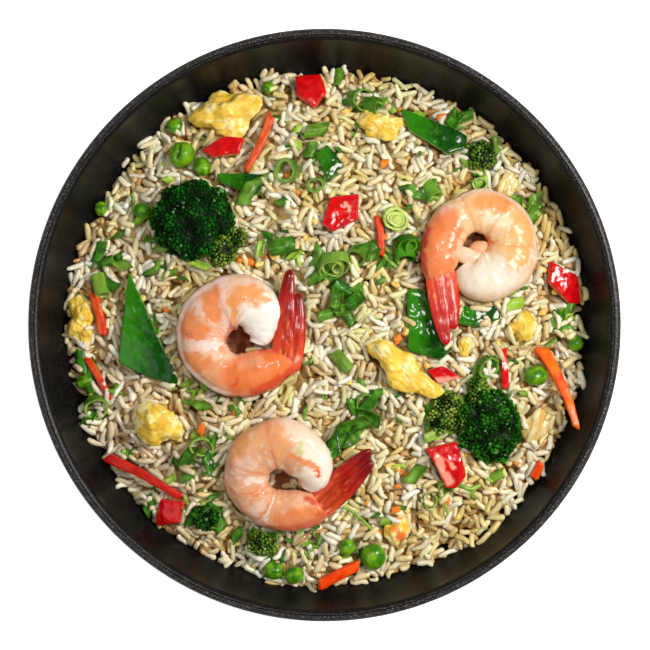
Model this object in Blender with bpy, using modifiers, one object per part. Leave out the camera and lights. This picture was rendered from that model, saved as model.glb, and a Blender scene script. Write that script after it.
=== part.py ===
"""Shrimp fried rice in a deep black bowl.

The rice is one heap that fills the bowl, and every shrimp, vegetable and piece of egg on it is
a solid of its own, sunk a little way into a pocket of the heap. Lengths are in millimetres up
to the last step of each shape, which scales it to metres. The origin is under the centre of
the bowl's foot, with +Z up.
"""

import math

import bmesh
import bpy
from mathutils import Euler, Matrix, Vector, noise

MM = 0.001
UP = Vector((0, 0, 1))

# The bowl
BOWL_RADIUS = 112.5
BOWL_HEIGHT = 64.0
WALL = 4.5
FOOT_RADIUS = 50.0
FOOT_WIDTH = 5.0
FOOT_HEIGHT = 5.0
FLOOR_Z = 9.0
FLOOR_RADIUS = 42.0
TURNS = 36
SIDE_STEPS = 6

# The heap of rice
CROWN_Z = 60.0
EDGE_Z = 44.0
EDGE_WAVE = 2.6
HEAP_POWER = 2.4
CLUMP_SIZE = 13.0
CLUMP_HEIGHT = 1.6
WALL_GAP = 1.0
FLOOR_GAP = 2.0
POCKET_GAP = 1.3
POCKET_WELD = 2.2
POCKET_RISE = 26.0
RICE_RINGS = 8
RICE_SIDE_RINGS = 4
PLAINER_ANGLE = 11.0

# A shrimp's curl: angle round it from the head end, distance of its middle, half of its depth
SLIM_CURL = (
    (0, 7.2, 3.0),
    (23, 8.8, 5.4),
    (35, 9.8, 6.6),
    (50, 11.8, 8.4),
    (66, 13.9, 10.0),
    (90, 15.3, 10.5),
    (140, 14.9, 10.4),
    (185, 13.8, 9.6),
    (230, 12.7, 8.2),
    (275, 12.8, 8.0),
    (295, 13.1, 8.4),
    (312, 13.8, 8.4),
    (327, 15.6, 7.5),
    (348, 19.8, 5.3),
)
FULL_CURL = (
    (-8, 11.0, 2.8),
    (8, 12.6, 7.2),
    (22, 13.4, 9.0),
    (45, 14.2, 9.8),
    (85, 15.0, 10.4),
    (130, 14.3, 9.9),
    (188, 12.9, 9.0),
    (233, 11.8, 7.7),
    (278, 12.1, 8.1),
    (305, 13.5, 8.3),
    (325, 16.7, 7.4),
    (338, 19.9, 5.5),
)
SHRIMP_FLATNESS = 0.72
TAIL_FLATNESS = 0.55
TAIL_STEPS = 6
TAIL_HALF_WIDTH = 3.9
TAIL_ROOT = 4.5
TAIL_SPREAD = 2.1
SHRIMP_SEGMENTS = 6
SEGMENT_STEP = 0.06
CURL_RINGS = 18

CROWN_FLORETS = 26
SMALL_CROWN_FLORETS = 10
FLORET_TURN = 137.5

SHARP_ANGLE = 50.0

# Flat pieces that reach further than this from their middle get a ring of inner points
LARGE_SLAB = 12.0
SLAB_RINGS = (0.55, 1)

COLOURS = {
    "black_glaze": ((0.012, 0.011, 0.010), 0.35),
    "rice": ((0.80, 0.74, 0.58), 0.45),
    "shrimp": ((0.85, 0.42, 0.25), 0.35),
    "broccoli": ((0.03, 0.13, 0.02), 0.6),
    "snow_pea": ((0.04, 0.22, 0.01), 0.3),
    "red_pepper": ((0.62, 0.02, 0.015), 0.25),
    "carrot": ((0.78, 0.15, 0.02), 0.4),
    "egg": ((0.88, 0.66, 0.20), 0.5),
    "onion": ((0.70, 0.52, 0.20), 0.35),
    "pea": ((0.08, 0.28, 0.02), 0.35),
    "scallion": ((0.12, 0.40, 0.05), 0.4),
}

# Each row: place on the heap (x, y), lift over it, turn about the vertical, then its shape
SHRIMPS = (
    # curl, x, y, lift, turn, scale, turn of the tail, lengths of its left and right lobe
    (SLIM_CURL, -32.7, -6.4, 3.6, -5, 1.0, 11, (37.5, 29.0)),
    (FULL_CURL, -17.4, -58.9, 3.6, -8, 0.95, -16, (35.0, 32.0)),
    (FULL_CURL, 57.4, 31.2, 3.8, 245, 0.97, -34, (26.0, 31.5)),
)
BROCCOLI = (
    # x, y, lift, turn, radii of the crown, stem length and radius, way of the stem, fineness
    (-50.0, 40.0, 1.5, 0, (15.0, 14.2, 9.5), (9, 5), -52, 3),
    (62.6, -38.2, 1.0, 20, (11.2, 14.0, 9.0), (16, 3.6), 141, 3),
    (60.0, 64.6, 0.5, 0, (5.2, 5.4, 4.2), (8, 1.8), -80, 2),
    (-45.2, -73.0, 0.0, 0, (5.6, 4.8, 4.2), (6, 1.8), 100, 2),
    (-23.7, -83.5, 0.8, 0, (5.2, 4.4, 4.0), (5, 1.6), 90, 2),
)
SNOW_PEAS = (
    # x, y, lift, (roll, pitch), corners round the piece, thickness, crown
    (
        -69.5, -5.5, 0.6, (0, 4),
        ((-5.3, 26.3), (-7.2, 8), (-9, -9), (3, -14.5), (15, -17.5), (6, 3)),
        2.6, 2.6,
    ),
    (
        42.6, 71.4, 1.6, (0, 0),
        ((-13.6, 11.9), (12.2, 0.9), (10.7, -4.4), (4.6, -7.0), (-10.2, 2.5)),
        2.4, 2.0,
    ),
    (
        38.9, -1.9, 0.0, (0, 0),
        ((-7.4, 15.5), (-1.5, 15.0), (4.9, 3.6), (9.6, -8.0), (4.9, -11.2), (-7.4, -7.8)),
        2.4, 2.0,
    ),
    (
        58.0, 3.6, -0.6, (-8, 0),
        ((-8.5, 3.4), (9.5, 3.4), (9.0, -1.5), (-1.4, -4.6), (-8.0, -3.0)),
        2.2, 0.8,
    ),
    (
        -31.4, 53.9, 0.6, (0, 0),
        ((-9.5, 4.1), (9.1, 3.3), (9.8, -1.6), (4.7, -5.0), (-9.0, 0.6)),
        2.2, 1.0,
    ),
    (
        2.5, 61.5, 0.8, (0, 8),
        ((-5.8, 3.4), (-1.5, 7.4), (4.7, -0.2), (3.7, -3.0), (-1.1, -7.5)),
        2.2, 1.0,
    ),
)
RED_PEPPERS = (
    (
        -5.3, 89.0, 1.6, (0, 0),
        ((-6.1, 6.4), (3.7, 7.5), (6.2, -0.5), (1.5, -6.5), (-5.4, -1.6)),
        3.2, 1.6,
    ),
    (
        -38.0, 68.0, 2.6, (0, 0),
        ((-9.0, -1.4), (-0.5, 3.8), (7.6, 3.2), (5.6, -3.0), (-4.6, -4.3)),
        3.0, 1.2,
    ),
    (
        5.3, 42.4, 1.8, (0, 0),
        ((-3.1, 6.1), (7.8, 7.5), (7.4, -2.5), (-2.3, -7.3), (-6.4, -4.4)),
        3.2, 1.6,
    ),
    (
        91.8, 16.0, 1.8, (0, 4),
        ((-6.2, 8.4), (5.0, 2.8), (6.6, -8.0), (1.2, -7.6), (-7.0, 0.2)),
        3.0, 1.6,
    ),
    (
        47.2, -54.5, 1.9, (0, 0),
        ((-8.3, 6.3), (2.6, 10.2), (6.8, -2.9), (1.0, -7.6), (-2.1, -6.1)),
        3.2, 1.8,
    ),
    (44.8, -18.6, 1.6, (0, 0), ((-6.0, 1.5), (-0.0, 3.2), (7.3, -1.4), (-1.8, -3.6)), 3.0, 0.8),
    (-59.0, -71.5, 1.2, (0, 0), ((-3.8, 5.2), (5.7, 4.3), (4.1, -3.9), (-5.9, -5.6)), 3.2, 1.4),
    (68.4, -16.6, 1.1, (0, 0), ((-1.4, 7.6), (0.9, 7.8), (1.9, -7.4), (-0.9, -7.9)), 2.2, 0.3),
)
CARROTS = (
    # x, y, lift, (turn, rise of the far end), length, width, thickness, (bow up, sideways), taper
    (89.4, -24.1, 5.2, (-71, 19.5), 34.0, 5.0, 3.0, (1.2, 1.2), 0.30),
    (-69.2, -58.2, 4.3, (-28, -8), 33.0, 3.8, 2.6, (0.8, 1.0), 0.25),
    (5.4, -95.6, 3.6, (26, -4), 17.5, 4.4, 3.2, (0.4, 0.3), 0.10),
    (-86.6, 4.4, 1.4, (-76, 0), 17.0, 3.8, 2.6, (0.5, 0.6), 0.15),
    (-86.6, -20.5, 1.4, (-61, 0), 18.0, 3.0, 2.4, (0.4, 0.5), 0.20),
    (-25.3, 69.6, 1.7, (-113, 0), 24.0, 3.4, 2.4, (0.8, 1.2), 0.25),
    (81.4, -55.6, 4.0, (69, 6), 7.0, 3.6, 2.8, (0.1, 0.0), 0.10),
    (20.8, 33.8, 1.0, (-86, 0), 15.0, 2.8, 2.4, (0.4, 0.5), 0.10),
)
EGGS = (
    # x, y, lift, turn, radii, depth of the folds, size of the folds, fineness
    (-37.0, 81.0, 1.8, 8, (11.8, 8.0, 5.2), 0.30, 7.0, 3),
    (-93.0, 1.8, 1.0, 90, (8.6, 5.6, 4.2), 0.22, 4.5, 2),
    (-63.6, -37.9, 2.0, 15, (9.2, 8.4, 5.6), 0.18, 7.0, 2),
    (28.8, -16.8, 1.6, -42, (16.2, 5.6, 4.0), 0.28, 6.0, 2),
    (21.8, 76.6, 0.8, -10, (8.4, 5.4, 4.2), 0.26, 5.0, 2),
    (75.8, -1.0, 0.4, 80, (5.4, 4.6, 3.6), 0.24, 4.0, 2),
    (27.2, -78.8, 0.8, 60, (5.4, 4.2, 3.4), 0.22, 4.0, 2),
    (53.2, -7.5, 0.6, 90, (4.2, 2.6, 2.8), 0.20, 4.0, 2),
)
ONIONS = (
    (81.0, -39.0, 0.8, 75, (7.0, 5.2, 3.4), 0.12, 6.0, 2),
    (69.6, 53.6, 0.6, 60, (5.4, 4.0, 3.0), 0.12, 5.0, 2),
)
PEAS = (
    # x, y, lift, radius, length over width
    (-54.6, 65.2, 1.8, 5.0, 1.04),
    (-57.4, 76.3, 1.0, 3.3, 1.0),
    (-46.8, 60.4, 1.0, 3.3, 1.2),
    (-19.4, -94.2, 1.2, 3.7, 1.1),
    (-11.6, -95.8, 3.0, 3.3, 1.2),
    (8.8, -84.9, 1.2, 3.1, 1.1),
    (18.6, -88.6, 1.6, 4.9, 1.05),
    (96.2, -7.0, 1.2, 3.1, 1.0),
    (80.6, -19.4, 1.4, 3.9, 1.2),
)
SCALLION_RINGS = (
    # x, y, lift, (roll, pitch), outer radius, wall, length
    (26.8, 40.4, 1.4, (15, 6), 4.7, 1.3, 5.0),
    (30.2, 28.2, 0.4, (68, 20), 4.4, 1.1, 8.0),
    (12.8, 26.6, 0.9, (35, -30), 4.3, 1.0, 5.5),
    (-14.4, 58.6, 1.2, (10, -14), 4.5, 1.2, 5.0),
    (-87.4, -31.2, 1.2, (20, 20), 4.6, 1.0, 4.6),
)
SCALLION_LEAVES = (
    (
        1.2, 22.0, 1.0, (0, 0),
        ((-7.4, 2.6), (-1.0, 5.6), (4.4, 3.0), (2.2, -2.6), (-3.8, -5.6)),
        1.8, 1.4,
    ),
    (
        34.4, 50.4, 1.0, (0, 0),
        ((-8.2, 2.9), (-2.0, 3.2), (6.6, -0.4), (7.0, -3.6), (-1.0, -2.2)),
        2.0, 1.2,
    ),
    (
        9.3, -41.4, 1.0, (0, 0),
        ((-6.8, -1.0), (-1.5, 4.6), (6.6, 5.4), (4.8, -2.6), (-2.2, -6.2)),
        1.8, 1.4,
    ),
)


def clear_scene():
    for obj in list(bpy.data.objects):
        bpy.data.objects.remove(obj)


def new_collection(name):
    collection = bpy.data.collections.new(name)
    bpy.context.scene.collection.children.link(collection)
    return collection


def material(name):
    colour, roughness = COLOURS[name]
    made = bpy.data.materials.get(name) or bpy.data.materials.new(name)
    made.use_nodes = True
    shader = made.node_tree.nodes["Principled BSDF"]
    shader.inputs["Base Color"].default_value = (*colour, 1)
    shader.inputs["Roughness"].default_value = roughness
    shader.inputs["Metallic"].default_value = 0
    return made


def add_object(name, mesh, collection, look):
    obj = bpy.data.objects.new(name, mesh)
    collection.objects.link(obj)
    mesh.materials.clear()
    mesh.materials.append(material(look))
    mesh.shade_smooth()
    mesh.set_sharp_from_angle(angle=math.radians(SHARP_ANGLE))
    return obj


def mesh_of(form, name):
    """The finished mesh of a bmesh in millimetres, in metres and with its faces pointing out."""
    bmesh.ops.recalc_face_normals(form, faces=form.faces)
    mesh = bpy.data.meshes.new(name)
    form.to_mesh(mesh)
    form.free()
    mesh.transform(Matrix.Scale(MM, 4))
    return mesh


def evaluated_mesh(obj):
    """A mesh of the object with its modifiers or curve bevel applied, in place of the object."""
    bpy.context.view_layer.update()
    graph = bpy.context.evaluated_depsgraph_get()
    mesh = bpy.data.meshes.new_from_object(obj.evaluated_get(graph))
    bpy.data.objects.remove(obj)
    return mesh


def turned(name, profile, steps, collection):
    """A Screw of a profile of (radius, height) points that runs down the outer side."""
    form = bmesh.new()
    points = [form.verts.new((radius, 0, height)) for radius, height in profile]
    for first, second in zip(points, points[1:]):
        form.edges.new((first, second))
    mesh = bpy.data.meshes.new(name)
    form.to_mesh(mesh)
    form.free()
    obj = bpy.data.objects.new(name, mesh)
    collection.objects.link(obj)
    screw = obj.modifiers.new("turn", "SCREW")
    screw.steps = steps
    screw.render_steps = steps
    screw.use_merge_vertices = True
    screw.merge_threshold = 1e-4
    screw.use_normal_calculate = True
    return obj


def bowl_curve(z, low_radius, low_z, high_radius, high_z):
    """Radius of a bowl's flaring side at height z, steep at the top and flatter below."""
    rise = min(max((z - low_z) / (high_z - low_z), 0.0), 1.0)
    return low_radius + (high_radius - low_radius) * (1 - (1 - rise) ** 1.55) ** (1 / 1.75)


def inner_radius(z):
    return bowl_curve(z, FLOOR_RADIUS, FLOOR_Z, BOWL_RADIUS - WALL, BOWL_HEIGHT)


def outer_radius(z):
    return bowl_curve(z, FOOT_RADIUS, FOOT_HEIGHT, BOWL_RADIUS, BOWL_HEIGHT)


def make_bowl(collection):
    lip = WALL / 2
    lip_z = BOWL_HEIGHT - lip
    lip_middle = (outer_radius(lip_z) + inner_radius(lip_z)) / 2
    lip_half = (outer_radius(lip_z) - inner_radius(lip_z)) / 2
    profile = [
        (lip_middle + lip_half * math.cos(turn), lip_z + lip * math.sin(turn))
        for turn in (math.radians(90 - 30 * step) for step in range(3))
    ]
    for step in range(SIDE_STEPS + 1):
        z = FOOT_HEIGHT + (lip_z - FOOT_HEIGHT) * (1 - step / SIDE_STEPS) ** 1.35
        profile.append((outer_radius(z), z))
    profile += [
        (FOOT_RADIUS - 0.6, 0),
        (FOOT_RADIUS - FOOT_WIDTH, 0),
        (FOOT_RADIUS - FOOT_WIDTH - 1.2, FOOT_HEIGHT - 1.8),
        (0, FOOT_HEIGHT - 1.2),
        (0, FLOOR_Z),
    ]
    for step in range(SIDE_STEPS + 2):
        z = FLOOR_Z + (lip_z - FLOOR_Z) * (step / (SIDE_STEPS + 1)) ** 1.6
        profile.append((inner_radius(z), z))
    profile += [
        (lip_middle - lip_half * math.cos(turn), lip_z + lip * math.sin(turn))
        for turn in (math.radians(30 * step) for step in range(1, 4))
    ]
    scaled = [(radius * MM, z * MM) for radius, z in profile]
    mesh = evaluated_mesh(turned("bowl_profile", scaled, TURNS, collection))
    form = bmesh.new()
    form.from_mesh(mesh)
    bmesh.ops.remove_doubles(form, verts=form.verts, dist=1e-6)
    bmesh.ops.recalc_face_normals(form, faces=form.faces)
    form.to_mesh(mesh)
    form.free()
    return add_object("bowl", mesh, collection, "black_glaze")


def edge_height(turn):
    """Height at which the heap meets the bowl, which wanders round it."""
    wander = noise.noise(Vector((2.2 * math.cos(turn), 2.2 * math.sin(turn), 4.0)))
    lean = 0.6 * math.cos(turn - math.radians(-35))
    return EDGE_Z + EDGE_WAVE * (1.4 * wander + lean)


def mound(x, y):
    """Smooth height of the heap."""
    turn = math.atan2(y, x)
    edge = edge_height(turn)
    share = math.hypot(x, y) / inner_radius(edge)
    fall = max(0.0, share * (1 + 0.06 * math.cos(turn - math.radians(146)) * (1 - share)))
    return CROWN_Z - (CROWN_Z - edge) * min(fall, 1.05) ** HEAP_POWER


def mound_normal(x, y):
    reach = 3.0
    slope_x = (mound(x + reach, y) - mound(x - reach, y)) / (2 * reach)
    slope_y = (mound(x, y + reach) - mound(x, y - reach)) / (2 * reach)
    return Vector((-slope_x, -slope_y, 1)).normalized()


def clumps(x, y, beds):
    """Low hills of rice between the pieces, which lie on level beds."""
    point = Vector((x / CLUMP_SIZE, y / CLUMP_SIZE, 7.3))
    height = CLUMP_HEIGHT * (noise.noise(point) + 0.6 * noise.noise(point * 2.1))
    for bed_x, bed_y, radius in beds:
        nearness = math.hypot(x - bed_x, y - bed_y) / radius
        height *= min(1.0, max(0.0, nearness - 0.75) * 2.5)
    return height


def make_rice(collection, beds):
    """A drum of unit size, turned and then settled into the bowl's shape."""
    rings = RICE_RINGS
    side = RICE_SIDE_RINGS
    profile = [(step / rings, 1) for step in range(rings + 1)]
    profile += [(1, 1 - step / side) for step in range(1, side + 1)]
    profile += [(0.5, 0), (0, 0)]
    mesh = evaluated_mesh(turned("rice_profile", profile, TURNS, collection))
    form = bmesh.new()
    form.from_mesh(mesh)
    bmesh.ops.remove_doubles(form, verts=form.verts, dist=1e-5)
    floor = FLOOR_Z + FLOOR_GAP
    for point in form.verts:
        share = math.hypot(point.co.x, point.co.y)
        turn = math.atan2(point.co.y, point.co.x)
        edge = edge_height(turn)
        level = point.co.z
        if level > 0.999:
            reach = share * (inner_radius(edge) - WALL_GAP)
            x = reach * math.cos(turn)
            y = reach * math.sin(turn)
            z = mound(x, y) + clumps(x, y, beds) * (1 - share**6)
        else:
            z = floor + (edge - floor) * level**1.4
            reach = share * (inner_radius(z) - WALL_GAP)
        point.co = (reach * math.cos(turn), reach * math.sin(turn), z)
    return add_object("rice", mesh_of(form, "rice"), collection, "rice")


def lay(obj, x, y, lift, yaw=0.0, lean=(0.0, 0.0)):
    """Rests a piece on the heap, square to its slope, then turned and leaned in degrees."""
    tilt = UP.rotation_difference(mound_normal(x, y))
    turn = Euler((math.radians(lean[0]), math.radians(lean[1]), math.radians(yaw)))
    obj.rotation_mode = "QUATERNION"
    obj.rotation_quaternion = tilt @ turn.to_quaternion()
    obj.location = Vector((x, y, mound(x, y) + lift)) * MM
    return obj


def united(pieces, name, collection, look):
    """One closed body from overlapping pieces, which are used up."""
    first = pieces[0]
    for other in pieces[1:]:
        union = first.modifiers.new("union", "BOOLEAN")
        union.operation = "UNION"
        union.solver = "EXACT"
        union.object = other
    mesh = evaluated_mesh(first)
    for other in pieces[1:]:
        bpy.data.objects.remove(other)
    return add_object(name, mesh, collection, look)


def tube(points, radii, flatness, sides_resolution, collection):
    """A tube through the points, each with its own radius, pressed flat in Z."""
    curve = bpy.data.curves.new("tube", "CURVE")
    curve.dimensions = "3D"
    curve.bevel_depth = MM
    curve.bevel_resolution = sides_resolution
    curve.use_fill_caps = True
    spline = curve.splines.new("POLY")
    spline.points.add(len(points) - 1)
    for place, point, radius in zip(spline.points, points, radii):
        place.co = (*(Vector(point) * MM), 1)
        place.radius = radius
    obj = bpy.data.objects.new("tube", curve)
    collection.objects.link(obj)
    mesh = evaluated_mesh(obj)
    form = bmesh.new()
    form.from_mesh(mesh)
    bmesh.ops.remove_doubles(form, verts=form.verts, dist=1e-6)
    for point in form.verts:
        point.co.z *= flatness
    bmesh.ops.recalc_face_normals(form, faces=form.faces)
    form.to_mesh(mesh)
    form.free()
    made = bpy.data.objects.new("tube", mesh)
    collection.objects.link(made)
    return made


def curl_at(curl, angle):
    """Middle distance and half depth of a shrimp at an angle round its curl."""
    for (low, near, thin), (high, far, thick) in zip(curl, curl[1:]):
        if angle <= high:
            share = (angle - low) / (high - low)
            ease = share * share * (3 - 2 * share)
            return near + (far - near) * ease, thin + (thick - thin) * ease
    return curl[-1][1], curl[-1][2]


def make_shrimp(name, row, collection):
    curl, x, y, lift, yaw, scale, tail_turn, tail_lengths = row
    first = curl[0][0]
    last = curl[-1][0]
    points = []
    radii = []
    for ring in range(CURL_RINGS + 1):
        share = ring / CURL_RINGS
        angle = first + (last - first) * share
        distance, depth = curl_at(curl, angle)
        segment = (share * SHRIMP_SEGMENTS) % 1
        depth *= 1 + SEGMENT_STEP * (segment - 0.5)
        way = math.radians(angle)
        points.append((distance * math.cos(way), distance * math.sin(way), 0))
        radii.append(depth)
    body = tube(points, radii, SHRIMP_FLATNESS, 3, collection)
    joint = Vector(points[-1])
    heading = math.radians(last + 90 + tail_turn)
    forward = Vector((math.cos(heading), math.sin(heading), 0))
    across = Vector((-forward.y, forward.x, 0))
    pieces = [body]
    for side, length in zip((1, -1), tail_lengths):
        lobe = []
        widths = []
        for step in range(TAIL_STEPS + 1):
            share = step / TAIL_STEPS
            swing = side * (TAIL_SPREAD + 0.5 * math.sin(math.pi * share * 0.9))
            rise = UP * (0.3 + 0.7 * side)
            lobe.append(joint + forward * (length * share - TAIL_ROOT) + across * swing + rise)
            widths.append(TAIL_HALF_WIDTH * math.sin(math.pi * (0.28 + 0.62 * share)) ** 0.8)
        pieces.append(tube(lobe, widths, TAIL_FLATNESS, 1, collection))
    shrimp = united(pieces, name, collection, "shrimp")
    shrimp.data.transform(Matrix.Scale(scale, 4))
    return lay(shrimp, x, y, lift, yaw)


def blob(radii, depth, size, fineness, seed):
    """A rounded lump with folds of a given size, flattened a little underneath."""
    form = bmesh.new()
    bmesh.ops.create_icosphere(form, subdivisions=fineness, radius=1)
    for point in form.verts:
        place = Vector(a * b for a, b in zip(point.co, radii))
        fold = noise.noise(place / size + Vector((seed * 7.1, seed * 3.3, 0.7)))
        swell = 1 + depth * 2 * fold
        if point.co.z < 0:
            place.z *= 0.75
        point.co = place * swell
    return form


def make_blob(name, row, look, seed, collection):
    x, y, lift, yaw, radii, depth, size, fineness = row
    mesh = mesh_of(blob(radii, depth, size, fineness, seed), name)
    return lay(add_object(name, mesh, collection, look), x, y, lift, yaw)


def make_broccoli(name, row, seed, collection):
    """A crown of round florets on a stem that leans out to one side."""
    x, y, lift, yaw, radii, (stem_length, stem_radius), stem_way, fineness = row
    form = bmesh.new()
    bmesh.ops.create_icosphere(form, subdivisions=fineness, radius=1)
    count = CROWN_FLORETS if fineness > 2 else SMALL_CROWN_FLORETS
    centres = []
    for index in range(count):
        height = 1 - 2 * (index + 0.5) / count
        turn = index * math.radians(FLORET_TURN) + seed
        ring = math.sqrt(1 - height * height)
        centres.append(Vector((ring * math.cos(turn), ring * math.sin(turn), height)))
    spread = 2.2 / math.sqrt(count)
    for point in form.verts:
        nearest = min((point.co - centre).length for centre in centres)
        swell = 0.88 + 0.20 * max(0.0, 1 - (nearest / spread) ** 2)
        point.co = Vector(a * b for a, b in zip(point.co, radii)) * swell
        if point.co.z < 0:
            point.co.z *= 0.6
    crown = add_object(name + "_crown", mesh_of(form, name), collection, "broccoli")
    form = bmesh.new()
    bmesh.ops.create_cone(
        form,
        cap_ends=True,
        segments=8,
        radius1=stem_radius,
        radius2=stem_radius * 1.35,
        depth=stem_length + radii[2],
    )
    stem = add_object(name + "_stem", mesh_of(form, name), collection, "broccoli")
    way = math.radians(stem_way)
    outward = Vector((math.cos(way), math.sin(way), -0.35)).normalized()
    reach = (radii[0] + radii[1]) / 2 * 0.55 + stem_length / 2
    stem.rotation_mode = "QUATERNION"
    stem.rotation_quaternion = UP.rotation_difference(-outward)
    stem.location = outward * reach * MM
    return lay(united([crown, stem], name, collection, "broccoli"), x, y, lift, yaw)


def make_slab(name, row, look, collection):
    """A flat piece with cut sides, its outline given by corners and its middle crowned."""
    x, y, lift, lean, corners, thickness, crown = row
    reach = max(math.hypot(*corner) for corner in corners)
    outline = []
    for corner, after in zip(corners, corners[1:] + corners[:1]):
        outline.append(Vector(corner))
        outline.append((Vector(corner) + Vector(after)) / 2)
    shares = SLAB_RINGS if reach > LARGE_SLAB else (1,)
    form = bmesh.new()
    edges = []
    for side in (thickness / 2, -thickness / 2):
        centre = form.verts.new((0, 0, side + crown / 2))
        inner = None
        for share in shares:
            ring = []
            for spot in outline:
                out = spot * share
                drop = (out.length / reach) ** 2
                ring.append(form.verts.new((out.x, out.y, side + crown * (0.5 - drop))))
            for index, point in enumerate(ring):
                after = ring[(index + 1) % len(ring)]
                if inner:
                    inner_after = inner[(index + 1) % len(ring)]
                    form.faces.new((inner[index], point, after))
                    form.faces.new((inner[index], after, inner_after))
                else:
                    form.faces.new((centre, point, after))
            inner = ring
        edges.append(inner)
    upper, lower = edges
    for index, point in enumerate(upper):
        after = (index + 1) % len(upper)
        form.faces.new((point, lower[index], lower[after]))
        form.faces.new((point, lower[after], upper[after]))
    bmesh.ops.recalc_face_normals(form, faces=form.faces)
    return lay(add_object(name, mesh_of(form, name), collection, look), x, y, lift, 0, lean)


def make_stick(name, row, look, collection):
    """A cut stick, narrower at its far end and bowed a little."""
    x, y, lift, (yaw, rise), length, width, thickness, (bow, sweep), taper = row
    form = bmesh.new()
    bmesh.ops.create_cube(form, size=1)
    long_edges = [
        edge for edge in form.edges if abs(edge.verts[0].co.x - edge.verts[1].co.x) > 0.5
    ]
    bmesh.ops.subdivide_edges(form, edges=long_edges, cuts=4)
    for point in form.verts:
        along = 2 * point.co.x
        rest = 1 - along * along
        narrow = 1 - taper * (along + 1) / 2
        point.co = (
            point.co.x * length,
            point.co.y * width * narrow + sweep * rest,
            point.co.z * thickness * narrow + bow * rest,
        )
    made = add_object(name, mesh_of(form, name), collection, look)
    return lay(made, x, y, lift, yaw, (0, -rise))


def make_pea(name, row, seed, collection):
    x, y, lift, radius, stretch = row
    radii = (radius * stretch, radius, radius * 0.92)
    mesh = mesh_of(blob(radii, 0.04, radius, 2, seed), name)
    return lay(add_object(name, mesh, collection, "pea"), x, y, lift, seed * 40)


def make_ring(name, row, collection):
    """A short length cut from a hollow scallion."""
    x, y, lift, lean, radius, wall, length = row
    inner = radius - wall
    profile = [
        (inner, length / 2),
        (radius - 0.3, length / 2),
        (radius, 0),
        (radius - 0.3, -length / 2),
        (inner, -length / 2),
        (inner, length / 2),
    ]
    scaled = [(across * MM, z * MM) for across, z in profile]
    mesh = evaluated_mesh(turned(name + "_profile", scaled, 12, collection))
    form = bmesh.new()
    form.from_mesh(mesh)
    bmesh.ops.remove_doubles(form, verts=form.verts, dist=1e-6)
    bmesh.ops.recalc_face_normals(form, faces=form.faces)
    form.to_mesh(mesh)
    form.free()
    return lay(add_object(name, mesh, collection, "scallion"), x, y, lift, 0, lean)


def make_toppings(collection):
    """Every piece that lies on the rice, in one list."""
    shrimps = [
        make_shrimp(f"shrimp_{number}", row, collection)
        for number, row in enumerate(SHRIMPS, 1)
    ]
    others = [
        make_broccoli(f"broccoli_{number}", row, number, collection)
        for number, row in enumerate(BROCCOLI, 1)
    ]
    for kind, rows in (("snow_pea", SNOW_PEAS), ("red_pepper", RED_PEPPERS)):
        for number, row in enumerate(rows, 1):
            others.append(make_slab(f"{kind}_{number}", row, kind, collection))
    for number, row in enumerate(CARROTS, 1):
        others.append(make_stick(f"carrot_{number}", row, "carrot", collection))
    for kind, rows in (("egg", EGGS), ("onion", ONIONS)):
        for number, row in enumerate(rows, 1):
            others.append(make_blob(f"{kind}_{number}", row, kind, number, collection))
    for number, row in enumerate(PEAS, 1):
        others.append(make_pea(f"pea_{number}", row, number, collection))
    for number, row in enumerate(SCALLION_RINGS, 1):
        others.append(make_ring(f"scallion_ring_{number}", row, collection))
    for number, row in enumerate(SCALLION_LEAVES, 1):
        others.append(make_slab(f"scallion_leaf_{number}", row, "scallion", collection))
    return shrimps, others


def world_form(obj):
    graph = bpy.context.evaluated_depsgraph_get()
    form = bmesh.new()
    form.from_object(obj, graph)
    form.transform(obj.matrix_world)
    form.normal_update()
    return form


def add_cutter(name, form, cutters):
    mesh = bpy.data.meshes.new(name)
    form.to_mesh(mesh)
    form.free()
    cutter = bpy.data.objects.new(name, mesh)
    cutters.objects.link(cutter)
    cutter.hide_render = True
    cutter.display_type = "WIRE"


def add_pocket(obj, cutters):
    """A cutter with straight sides: the piece's hull, grown by the gap and carried upwards."""
    grown = world_form(obj)
    for point in grown.verts:
        point.co += point.normal * POCKET_GAP * MM
    bmesh.ops.remove_doubles(grown, verts=grown.verts, dist=POCKET_WELD * MM)
    form = bmesh.new()
    for point in grown.verts:
        form.verts.new(point.co)
        form.verts.new(point.co + UP * POCKET_RISE * MM)
    grown.free()
    hull = bmesh.ops.convex_hull(form, input=form.verts)
    inside = {item for item in hull["geom_interior"] if isinstance(item, bmesh.types.BMVert)}
    bmesh.ops.delete(form, geom=list(inside), context="VERTS")
    bmesh.ops.recalc_face_normals(form, faces=form.faces)
    add_cutter(obj.name + "_pocket", form, cutters)


def add_mould(obj, cutters):
    """A cutter of the piece's own shape, grown by the gap."""
    form = world_form(obj)
    for point in form.verts:
        point.co += point.normal * POCKET_GAP * MM
    add_cutter(obj.name + "_pocket", form, cutters)


def beds_of(toppings):
    """Centre and radius of each piece, seen from above."""
    beds = []
    for obj in toppings:
        corners = [obj.matrix_world @ Vector(corner) / MM for corner in obj.bound_box]
        xs = [corner.x for corner in corners]
        ys = [corner.y for corner in corners]
        radius = math.hypot(max(xs) - min(xs), max(ys) - min(ys)) / 2
        beds.append(((max(xs) + min(xs)) / 2, (max(ys) + min(ys)) / 2, radius))
    return beds


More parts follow.
